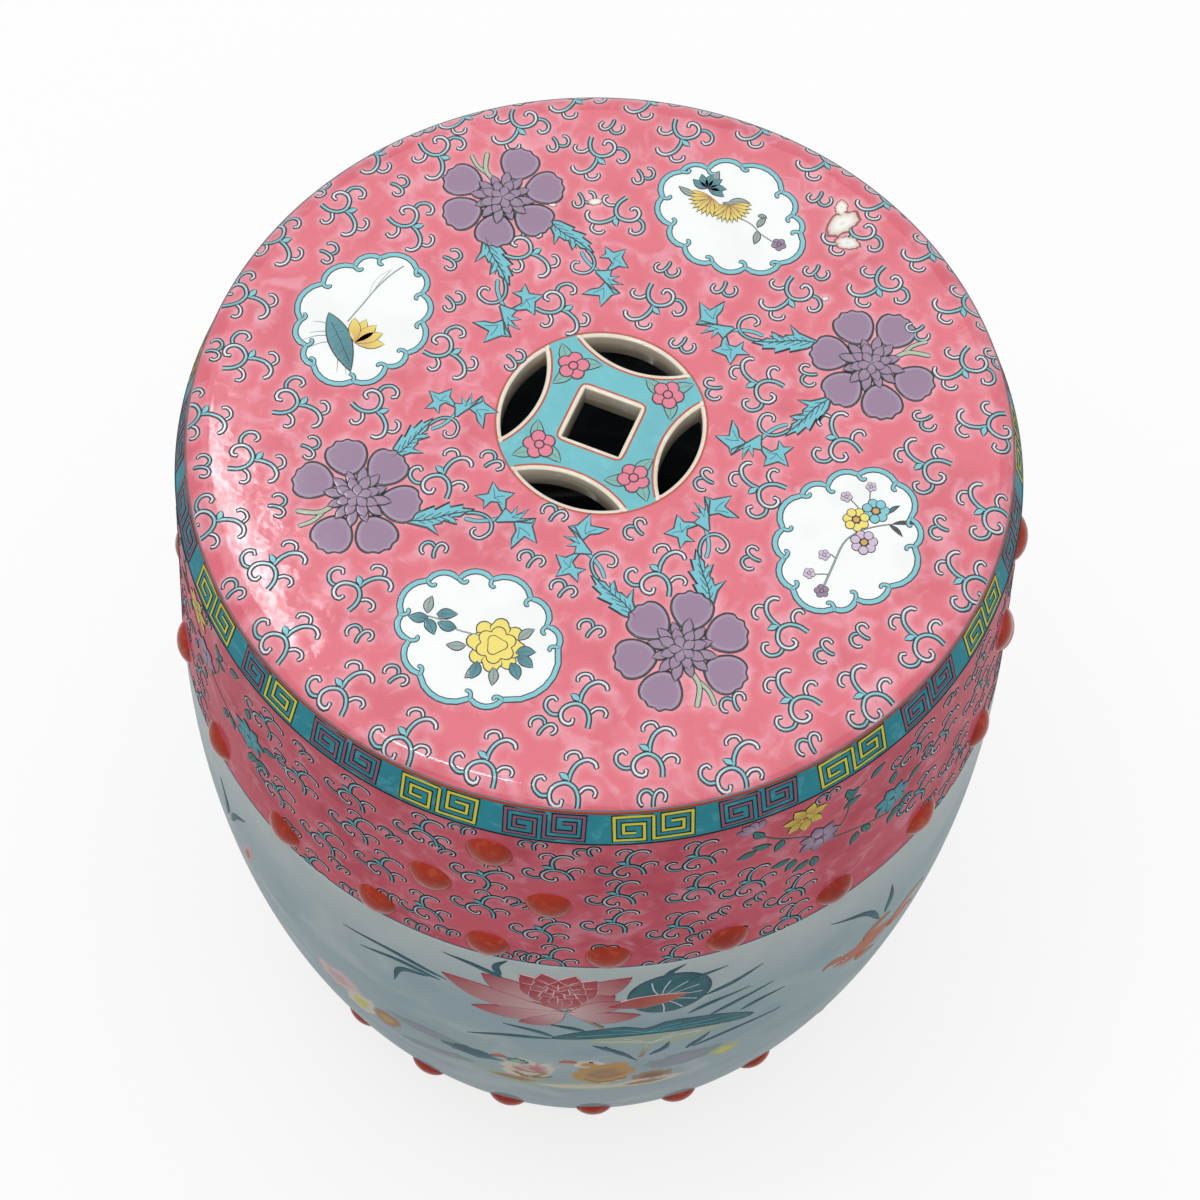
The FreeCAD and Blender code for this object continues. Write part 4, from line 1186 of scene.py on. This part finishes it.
def paintLotus():
    # outer petals from the far side to the near, pale at the base and deep at the tip, then the cupped heart
    petals = [((0, 296), (14, 313), (29, 328), 7.5), ((-3, 300), (-18, 309), (-31, 319), 8.0),
              ((4, 294), (14, 303), (23, 310), 7.5), ((2, 292), (-24, 296), (-48, 307), 8.5),
              ((4, 291), (-16, 283), (-36, 280), 7.0), ((3, 290), (-5, 279), (-16, 272), 5.5),
              ((4, 291), (18, 285), (34, 286), 6.5), ((5, 292), (16, 297), (28, 302), 6.5)]
    parts = [stroke([(4, 293), (10, 284), (19, 272)], 1.1, "sage", "tawny", edge="reed", line=0.3)]
    for k, (*points, half) in enumerate(petals):
        petal = blade(points, half, "lotusPale", "lotus", "lotus", 0.45, 0.58, lift=0.02 * k, rows=12)
        parts.append(split(petal, pond["facet"]))
    heart = [((0, 304), 27, 6.2, (56, 76, 104, 124)), ((0, 301), 23, 6.0, (48, 68, 90, 112, 132)),
             ((0, 298), 18, 5.4, (52, 78, 102, 128)), ((1, 295), 14, 5.0, (62, 90, 118))]
    for row, (base, reach, half, turns) in enumerate(heart):
        petal = blade([(0, 0), (reach / 2, 0), (reach, 0)], half, "lotusMid", "lotus", "lotusPale", 0.4,
                      0.62, rows=10)
        parts += [moved(petal, *base, turn, lift=0.17 + 0.03 * row) for turn in turns]
    for x, y in ((-5, 312), (0, 315), (5, 311), (-8, 306), (-2, 308), (3, 306), (8, 307), (0, 302)):
        stamen = [(x, y), (x * 0.8, y + 6)]
        parts.append(stroke(stamen, 0.3, "lotusPale", edge="lotusPale", lift=0.3, step=3))
    return parts


def paintLeaves():
    # the round leaf behind the flower with its orange petal, and the leaf below seen from its edge
    disc = blot(oval(18, 21.5, turns=36, pinch=0), [(0.3, "tealLight", "teal"), (0.9, "teal", "teal"),
                                                   (0.93, "reed", "reed"), (1, "reed", "reed")], dome=0.1)
    rib = stroke([(3, 0), (10, 1.2), (17.5, 1.0)], 0.35, "milk", edge="milk", step=3)
    petal = blade([(20, 298), (36, 301), (53, 304)], 6.3, "lotus", "orange", "lotusPale", 0.4, lift=0.16,
                  rows=12)
    parts = [split(moved(disc, 45, 306), pond["facet"])]
    parts += [moved(rib, 41, 303, turn, lift=0.02) for turn in (75, 48, 22, -5, -30, -58, -85, 100)]
    parts.append(split(petal, pond["facet"]))
    cap = [(-2, 255), (9, 265.5), (26, 272), (37, 267.5), (48, 273), (68, 266.5), (84, 252), (81, 248),
           (62, 255), (37, 259.5), (18, 258)]
    under = [(11, 255.5), (37, 259), (62, 254.5), (74, 249), (54, 241), (40, 243.5), (23, 247)]
    below = shapeOf(easedPath(under, closed=True)[::6], "sage", "stem", 0.3, lift=-0.02)
    above = shapeOf(easedPath(cap, closed=True)[::5], "teal", "reed", 0.35)
    parts += [split(below, pond["facet"]), split(above, pond["facet"]),
              stroke([(37, 249), (38, 238), (36, 224)], 1.4, "sage", "tawny", edge="stem", line=0.4)]
    parts += [stroke([(40, 246), ((40 + x) / 2, 251), (x, y)], 0.28, "milk", edge="milk", step=4, lift=0.03)
              for x, y in ((18, 252), (28, 256), (50, 255), (62, 250))]
    for x, y in ((8, 260), (22, 268), (52, 268), (68, 262), (78, 253)):
        vein = [(37, 262), ((37 + x) / 2, (262 + y) / 2 + 2), (x, y)]
        parts.append(stroke(vein, 0.3, "leaf", edge="leaf", step=4, lift=0.03))
    return parts


def paintDucks():
    # a pair of ducks between rocks, soft as the painter washed them
    patches = [
        (10, 166, 48, 11, 4, "cream", "sage"), (-20, 172, 22, 10, -8, "tawny", "sage"),
        (40, 170, 20, 9, 12, "tawny", "cream"), (-40, 207, 16, 9, -10, "reed", "teal"),
        (-13, 196, 21, 14, 78, "blush", "cream"), (-12, 190, 13, 9, 70, "cream", "tawny"),
        (-9, 200, 11, 6, 82, "lotusMid", "blush"), (-17, 210, 6, 5, 0, "sage", "green"),
        (21, 198, 25, 15, 84, "tawny", "ochre"), (21, 190, 18, 10, 88, "white", "cream"),
        (14, 215, 9, 7, 40, "ochre", "cream"), (56, 208, 19, 13, 10, "lilac", "grey"),
        (75, 202, 11, 9, 60, "bandYellow", "sage"), (42, 184, 10, 9, 30, "burnt", "tawny"),
        (-105, 214, 17, 13, 80, "blush", "lotusPale"), (-94, 196, 20, 9, 82, "bandYellow", "cream"),
        (-80, 195, 15, 8, 80, "ochre", "tawny"), (-60, 214, 18, 8, 0, "lilac", "grey"),
        (-55, 180, 22, 6, 20, "lilac", "grey"), (-160, 262, 18, 4, 75, "orange", "blush"),
        (-196, 185, 22, 4, 72, "orange", "blush"),
    ]
    parts = [split(softBlot(*patch, lift=0.01 * (k % 9), seed=k), 10) for k, patch in enumerate(patches)]
    # beak and eye of each duck, then the folds of their wings
    for *points, half, fill in (((-22, 212), (-25, 213), (-29, 211), 1.6, "orange"),
                                ((-16, 212), (-15, 213), (-14, 212), 0.9, "line"),
                                ((9, 218), (5, 219), (1, 217), 1.7, "orange"),
                                ((14, 219), (15, 219.6), (16, 219), 0.9, "line"),
                                ((-20, 188), (-12, 180), (-2, 186), 1.2, "tawny"),
                                ((12, 186), (21, 178), (31, 188), 1.2, "tawny"),
                                ((14, 196), (22, 190), (31, 198), 1.0, "tawny"),
                                ((-20, 198), (-12, 192), (-3, 197), 1.0, "tawny")):
        parts.append(blade(points, half, fill, edge=fill, lift=0.2, rows=8))
    return parts


def paintGoldfish():
    # orange body, fins and tail, with the tail spread to the right
    parts = [split(softBlot(143, 249, 19, 11, -12, "orange", "orange", 0.05, 31), pond["facet"]),
             blade([(130, 256), (122, 262), (118, 258)], 2.6, "orange", edge="tawny", lift=0.05),
             blade([(158, 245), (172, 252), (184, 250)], 5.0, "orange", "blush", edge="tawny", lift=0.05),
             blade([(158, 243), (170, 238), (180, 230)], 5.0, "orange", "blush", edge="tawny", lift=0.07),
             blade([(140, 258), (147, 266), (156, 266)], 4.0, "orange", "tawny", edge="tawny", lift=0.09),
             blade([(140, 241), (144, 233), (152, 230)], 3.4, "orange", "tawny", edge="tawny", lift=0.09)]
    parts.append(rosette(131, 252, 1.9, 5, "white", "line", lift=0.14))
    return parts


def makePond(middle):
    # the whole painting, wrapped round the belly with its middle at the given angle
    parts = paintDucks() + paintLeaves() + paintReeds() + paintLotus() + paintGoldfish()
    return [onWall(part, middle, 0, stool["footRise"] + 1, seamHeight - 1) for part in parts]


print("ornament drawn")


# The seat, a flat disc round the coin with a rounded edge down to the rim line


def lensShare(angles):
    # 1 where a lens opening borders the coin's circle, 0 between the lenses
    halfAngle = np.radians(coin["lensReach"])
    fromAxis = np.abs((angles + np.pi / 4) % (np.pi / 2) - np.pi / 4)
    return 1 - smoothStep(halfAngle - 0.04, halfAngle, fromAxis)


def makeSeat(drawing):
    # rows of a turned profile: the rounded lip of each lens, the top, the rounded edge and the underside
    angles = fullTurn(seat["turns"])
    share = lensShare(angles)
    lip = coin["lip"] * share
    quarter = np.linspace(0, np.pi / 2, 6)[:, None]
    underside = seatTop - stool["seatThick"]
    lipRadii = coin["radius"] + lip * (1 - np.sin(quarter))
    lipHeights = seatFace - coin["lipDrop"] * share * (1 - np.cos(quarter))
    top = np.linspace(coin["radius"] + coin["lip"] + 0.3, stool["rimRadius"] - 10, seat["topRings"])
    edge = np.linspace(stool["rimRadius"] - 9.4, stool["rimRadius"] - seat["edgeEnd"], seat["edgeRings"])
    outRadii = np.concatenate([top, edge])[:, None] + 0 * angles
    plug = stool["rimRadius"] - stool["wall"] - seat["plugGap"]
    inner = coin["radius"]
    low = np.array([(stool["rimRadius"] - 0.6, stool["rimHeight"] - 0.4), (plug, stool["rimHeight"] - 0.6),
                    (plug, underside), (inner + 0.5, underside), (inner, underside + 0.5),
                    (inner, seatFace - coin["lipDrop"] - 0.4)])
    lowRadii, lowHeights = low[:, :1] + 0 * angles, low[:, 1:] + 0 * angles
    radii = np.concatenate([lipRadii[::-1], outRadii, lowRadii])
    heights = np.concatenate([lipHeights[::-1], seatHeightAt(outRadii), lowHeights])
    zone = np.concatenate([np.broadcast_to(share > 0, lipRadii.shape), 0 * outRadii, 1 + 0 * lowRadii])
    points = turnedPoints(radii, heights, angles)
    wash = haloOf(drawing, points, flatTop)
    quads = gridQuads(len(radii) + 1, seat["turns"]) % len(points)
    return makeMesh("seat", points, [quads[:, ::-1]], seatMaterial, ["seat_slab"],
                    {"wash": wash, "zone": zone})


def arcAt(fromAxis, radius):
    # where a ray from the coin's middle meets a circle about the lens's: m cos a - sqrt(r² - (m sin a)²)
    reach = radius ** 2 - (lensMiddle * np.sin(fromAxis)) ** 2
    return lensMiddle * np.cos(fromAxis) - np.sqrt(np.maximum(reach, 0))


def makeCoinWeb():
    # the web between the square hole and the lenses, in polar rows from hole to lens
    turns, lip = coin["turns"], coin["lip"]
    angles = fullTurn(turns)
    share = lensShare(angles)
    squareEdge = coin["squareHalf"] / np.maximum(np.abs(np.cos(angles)), np.abs(np.sin(angles)))
    fromAxis = (angles + np.pi / 4) % (np.pi / 2) - np.pi / 4
    lensEdge = arcAt(fromAxis, coin["radius"])
    lipEdge = arcAt(fromAxis, coin["radius"] + lip)
    rim = coin["radius"] + (lip + 0.1) * (1 - share)
    outEdge = np.minimum(np.where(share > 0, lensEdge, rim), rim)
    lipWidth = np.clip(outEdge - np.where(np.abs(fromAxis) < 0.66, lipEdge, rim), 0, 12)
    quarter = np.linspace(0, np.pi / 2, 6)[:, None]
    underside = seatTop - stool["seatThick"] + 0 * angles
    innerRadii = squareEdge + lip * (1 - np.cos(quarter))
    innerHeights = seatFace - coin["lipDrop"] * (1 - np.sin(quarter)) + 0 * angles
    across = np.concatenate([[0.02], np.linspace(0, 1, 14)[1:-1], [0.98]])[:, None]
    webRadii = (squareEdge + lip) * (1 - across) + (outEdge - lipWidth) * across
    outRadii = outEdge - lipWidth * (1 - np.sin(quarter))
    outHeights = seatFace - coin["lipDrop"] * share * (1 - np.cos(quarter)) + 0.04 * (1 - share)
    wallTop = seatFace - coin["lipDrop"] - 0.4 + 0 * angles
    radii = np.concatenate([squareEdge + 0.5, squareEdge, squareEdge, innerRadii, webRadii, outRadii,
                            outEdge, outEdge, outEdge - 0.5])
    heights = np.concatenate([underside, underside + 0.5, wallTop, innerHeights,
                              seatFace + 0.04 * across * (1 - share), outHeights, wallTop, underside + 0.5,
                              underside])
    zone = np.concatenate([np.ones((3, turns)), 1 + 0 * innerRadii, 0 * webRadii,
                           np.broadcast_to(lipWidth > 0.2, outRadii.shape), np.ones((3, turns))])
    points = turnedPoints(radii, heights, angles)
    quads = gridQuads(len(radii) + 1, turns) % len(points)
    return makeMesh("coinWeb", points, [quads[:, ::-1]], coinMaterial,
                    vertexData={"zone": zone})


coinDrawing, chips = makeCoinDrawing(), makeChips()
makeSeat(seatGround + seatFlowers + seatPanels + chips)
makeCoinWeb()
makeDrawing("seatScrollwork", seatGround, drawnMaterial)
makeDrawing("seatPeonies", seatFlowers, drawnMaterial)
makeDrawing("seatCartouches", seatPanels, drawnMaterial)
makeDrawing("coinBlossoms", coinDrawing, drawnMaterial)
makeDrawing("seatChips", chips, drawnMaterial)
print("seat and coin made")


# The walls: band, shoulder and belly, each a shell with its own inside

walls = {
    "shoulderTurns": 860, "bandRows": 6, "shoulderRows": 92, "bellyTurns": 560, "bellyRows": 140,
    # drawn lines round the wall: lower and upper height, lift, colour
    "lines": [(stool["rimHeight"] - 1.7, stool["rimHeight"] - 0.5, 0.2, "brick"),
              (bandFoot - 0.3, bandFoot + 0.4, 0.2, "line"),
              (seamHeight + 0.2, seamHeight + 0.9, 0.15, "teal")],
}


def makeShell(name, heights, turns, material, replaced, drawing=None):
    # outside rows from the top down, then two inside rows from the bottom up
    angles = fullTurn(turns)
    heights = np.asarray(heights)[:, None]
    outside = wallAt(heights) - wallRelief
    inner = np.array([heights[-1, 0], heights[0, 0] - 0.5])[:, None]
    inside = wallAt(inner) - stool["wall"]
    radii = np.concatenate([outside, inside]) + 0 * angles
    points = turnedPoints(radii, np.concatenate([heights, inner]) + 0 * angles, angles)
    quads = gridQuads(len(radii) + 1, turns) % len(points)
    vertexData = {}
    if drawing is not None:
        vertexData = {"wash": haloOf(drawing, points, flatWall),
                      "zone": (points[:, 2] > bandFoot - 0.05).astype(float)}
    return makeMesh(name, points, [quads[:, ::-1]], material, [replaced], vertexData)


# Studs: pressed domes on the wall

studs = {
    "count": 23, "firstAngle": 12.5, "radius": 9.0, "rise": 4.0, "rings": 8, "spokes": 28,
    "rowDrop": 108.0,      # from the rim down to the row round the shoulder
    "crests": 4,           # triangles of three studs over that row
    "pairDrop": 66.0, "apexDrop": 32.0,
    "footHeight": 67.0,    # the row above the foot
}


def makeStuds(name, heights, angles, replaced):
    # dome: rise times a power of one minus the squared share of its radius, with one point on its top
    rings, spokes = studs["rings"], studs["spokes"]
    share = np.sin(np.linspace(1 / rings, 1, rings) * np.pi / 2)[:, None]
    turn = fullTurn(spokes)
    across = np.append(0, (studs["radius"] * share * np.cos(turn)).ravel())[None, :]
    up = np.append(0, (studs["radius"] * share * np.sin(turn)).ravel())[None, :]
    rise = np.append(1, ((1 - share ** 2) ** 0.7 + 0 * turn).ravel())[None, :] * studs["rise"] - 0.5
    heights = np.asarray(heights)[:, None]
    angles = np.radians(np.asarray(angles))[:, None]
    z = heights + up
    radii = wallAt(z) + rise
    around = angles + across / radii
    points = np.stack([radii * np.cos(around), radii * np.sin(around), z + 0 * around], axis=-1)
    quads = gridQuads(rings, spokes)[:, ::-1] + 1
    spoke = np.arange(spokes)
    crown = np.stack([0 * spoke, 1 + spoke, 1 + (spoke + 1) % spokes], axis=-1)
    step = (np.arange(len(heights)) * (rings * spokes + 1))[:, None, None]
    faceSets = [(quads[None] + step).reshape(-1, 4), (crown[None] + step).reshape(-1, 3)]
    makeMesh(name, points.reshape(-1, 3), faceSets, studMaterial, [replaced])


studStep = 360 / studs["count"]
rowAngles = studs["firstAngle"] + studStep * np.arange(studs["count"])
crestSteps = np.ceil(np.arange(studs["crests"]) * studs["count"] / studs["crests"] - 0.5)
crestMiddles = studs["firstAngle"] + studStep * crestSteps
crestAngles = (crestMiddles[:, None] + studStep * np.array([-0.5, 0.5, 0])).ravel()
crestDrops = np.array([studs["pairDrop"], studs["pairDrop"], studs["apexDrop"]])
crestHeights = np.tile(stool["rimHeight"] - crestDrops, studs["crests"])
shoulderGround, shoulderFlowers = makeShoulderGround(crestMiddles)
seamLines = [turnedLine(*line) for line in walls["lines"]]
bandRows = np.linspace(stool["rimHeight"] - 0.4, bandFoot, walls["bandRows"])
coneRows = np.linspace(bandFoot - 0.1, seamHeight, walls["shoulderRows"])
makeShell("shoulder", np.append(bandRows, coneRows), walls["shoulderTurns"],
          shoulderMaterial, "shoulder_wall", shoulderGround + shoulderFlowers)
makeShell("belly", np.linspace(seamHeight, stool["footRise"], walls["bellyRows"]),
          walls["bellyTurns"], bellyMaterial, "belly_wall")
makeDrawing("shoulderScrollwork", shoulderGround, wallDrawnMaterial)
makeDrawing("shoulderSprays", shoulderFlowers, wallDrawnMaterial)
makeDrawing("fretBand", makeBand() + seamLines, wallDrawnMaterial)
for name, middle in pond["middles"].items():
    makeDrawing(name, makePond(middle), paintedMaterial)
makeStuds("shoulderStuds", np.full(studs["count"], stool["rimHeight"] - studs["rowDrop"]), rowAngles,
          "shoulder_studs")
makeStuds("footStuds", np.full(studs["count"], studs["footHeight"]), rowAngles, "foot_studs")
makeStuds("crestStuds", crestHeights, crestAngles, "crest_studs")
print("walls and studs made")

# The foot ring and the two coils inside keep their own meshes, in bare clay
for nodeName in ("foot_ring", "seat_coil", "seam_coil"):
    node = bpy.data.objects[nodeName]
    node.data.materials.clear()
    node.data.materials.append(biscuitMaterial)


# Floor, lights and camera

studio = {
    "floorSize": 6.0, "sky": 0.46, "backdrop": 0.97,
    "floorGlow": (0.1, 0.13, 0.7),   # metres from the axis where the pale floor starts and is full, strength
    # name, place and aim in metres, width and height, watts
    "softboxes": [
        ("keySoftbox", (-0.63, 0.566, 1.94), (0, 0, 0.4), (0.025, 0.3), 0.38),
        ("stripSoftbox", (-0.35, -0.25, 2.3), (0, 0, 0.4), (0.08, 0.5), 2.4),
        ("ceilingSoftbox", (0, 0.001, 3.2), (0, 0, 0.4), (5.0, 5.0), 71.0),
        ("fillSoftbox", (-1.9, -0.9, 1.3), (0, 0, 0.3), (1.2, 1.2), 0.8),
    ],
}


def seenDirectly(tree):
    # 1 for rays that show the surroundings, straight or by a glossy or clear surface, and 0 for their light
    seen = tree.nodes.new("ShaderNodeLightPath").outputs
    return calc(tree, "MAXIMUM", calc(tree, "MAXIMUM", seen["Is Camera Ray"], seen["Is Glossy Ray"]),
                seen["Is Transmission Ray"])


def makeFloor():
    # one square under the stool
    half = studio["floorSize"] / 2
    mesh = bpy.data.meshes.new("floor")
    mesh.from_pydata([(-half, -half, 0), (half, -half, 0), (half, half, 0), (-half, half, 0)], [],
                     [(0, 1, 2, 3)])
    mesh.materials.append(makeFloorMaterial())
    floor = bpy.data.objects.new("floor", mesh)
    bpy.context.scene.collection.objects.link(floor)


def makeFloorMaterial():
    # a grey floor that lights the stool plainly, and shows as a pale background with its shadow
    material = bpy.data.materials.new("paleFloor")
    material.use_nodes = True
    tree = material.node_tree
    shader = tree.nodes["Principled BSDF"]
    grain = eased(tree, noiseOf(tree, 3.0), 0.4, 0.6, 0.02)
    direct = seenDirectly(tree)
    pale = blend(tree, grain, (0.32, 0.32, 0.32, 1), (0.31, 0.31, 0.31, 1))
    wire(tree, blend(tree, direct, (0.35, 0.35, 0.35, 1), pale), shader.inputs["Base Color"])
    shader.inputs["Emission Color"].default_value = (1, 1, 1, 1)
    # the dark floor under the stool, seen through the pierced seat, stays out of the pale background
    reach = tree.nodes.new("ShaderNodeVectorMath")
    reach.operation = "LENGTH"
    wire(tree, tree.nodes.new("ShaderNodeTexCoord").outputs["Object"], reach.inputs[0])
    paleShare = eased(tree, reach.outputs["Value"], *studio["floorGlow"])
    wire(tree, calc(tree, "MULTIPLY", direct, paleShare), shader.inputs["Emission Strength"])
    shader.inputs["Roughness"].default_value = 0.9
    shader.inputs["Specular IOR Level"].default_value = 0.1
    return material


def placed(right, up, back, place):
    # world matrix of a lamp or camera that looks against its own back direction
    columns = np.stack([right, up, back, place], axis=1)
    return Matrix([*columns.tolist(), (0, 0, 0, 1)])


def makeSoftbox(name, place, aim, size, power):
    # a rectangular lamp that looks from its place at its aim
    lamp = bpy.data.lights.new(name, "AREA")
    lamp.shape = "RECTANGLE"
    lamp.size, lamp.size_y = size
    lamp.energy = power
    light = bpy.data.objects.new(name, lamp)
    bpy.context.scene.collection.objects.link(light)
    back = np.array(place, dtype=float) - np.array(aim, dtype=float)
    back /= np.linalg.norm(back)
    side = np.cross((0, 0, 1), back)
    side /= np.linalg.norm(side)
    up = np.cross(back, side)
    light.matrix_world = placed(side, up, back, np.array(place, dtype=float))


def makeWorld():
    # a plain sky, and the pale backdrop for the rays that show it
    world = bpy.data.worlds.new("studioWorld")
    bpy.context.scene.world = world
    world.use_nodes = True
    tree = world.node_tree
    sky = tree.nodes["Background"].inputs
    sky["Color"].default_value = (1, 1, 1, 1)
    shown = calc(tree, "MULTIPLY", seenDirectly(tree), studio["backdrop"])
    wire(tree, calc(tree, "MAXIMUM", shown, studio["sky"]), sky["Strength"])


makeFloor()
for softbox in studio["softboxes"]:
    makeSoftbox(*softbox)
makeWorld()


view = {
    "turn": 20.5,           # degrees round the axis from the stool's front to the camera
    "distance": 5.6079,     # rim radii from the rim's middle to the lens
    "height": 58.832,       # degrees of the lens above the rim plane
    "pitch": 63.143,        # degrees that it looks down
    "yaw": 0.328,
    "roll": 2.725,
    "focal": 69.42,         # millimetres, on a sensor 36 wide
    "sensor": 36,
}


def makeCamera():
    # the lens by its distance and height, then turned by pitch, yaw and roll, then all of it round the axis
    radius = stool["rimRadius"]
    height, pitch = np.radians(view["height"]), np.radians(view["pitch"])
    yaw, roll, turn = np.radians(view["yaw"]), np.radians(view["roll"]), np.radians(view["turn"])
    place = radius * view["distance"] * np.array([0, -np.cos(height), np.sin(height)])
    ahead = np.array([np.sin(yaw) * np.cos(pitch), np.cos(yaw) * np.cos(pitch), -np.sin(pitch)])
    right = np.cross(ahead, (0, 0, 1))
    right /= np.linalg.norm(right)
    up = np.cross(right, ahead)
    right, up = right * np.cos(roll) + up * np.sin(roll), up * np.cos(roll) - right * np.sin(roll)
    spin = np.array([[np.cos(turn), -np.sin(turn), 0], [np.sin(turn), np.cos(turn), 0], [0, 0, 1]])
    place = spin @ place + np.array([0, 0, stool["rimHeight"]])
    right, up, back = spin @ right, spin @ up, spin @ -ahead
    lens = bpy.data.cameras.new("camera")
    lens.lens = view["focal"]
    lens.sensor_width = view["sensor"]
    camera = bpy.data.objects.new("camera", lens)
    bpy.context.scene.collection.objects.link(camera)
    camera.matrix_world = placed(right, up, back, place * mm)
    bpy.context.scene.camera = camera


makeCamera()
bpy.context.scene.view_settings.view_transform = "Standard"
print("studio ready")
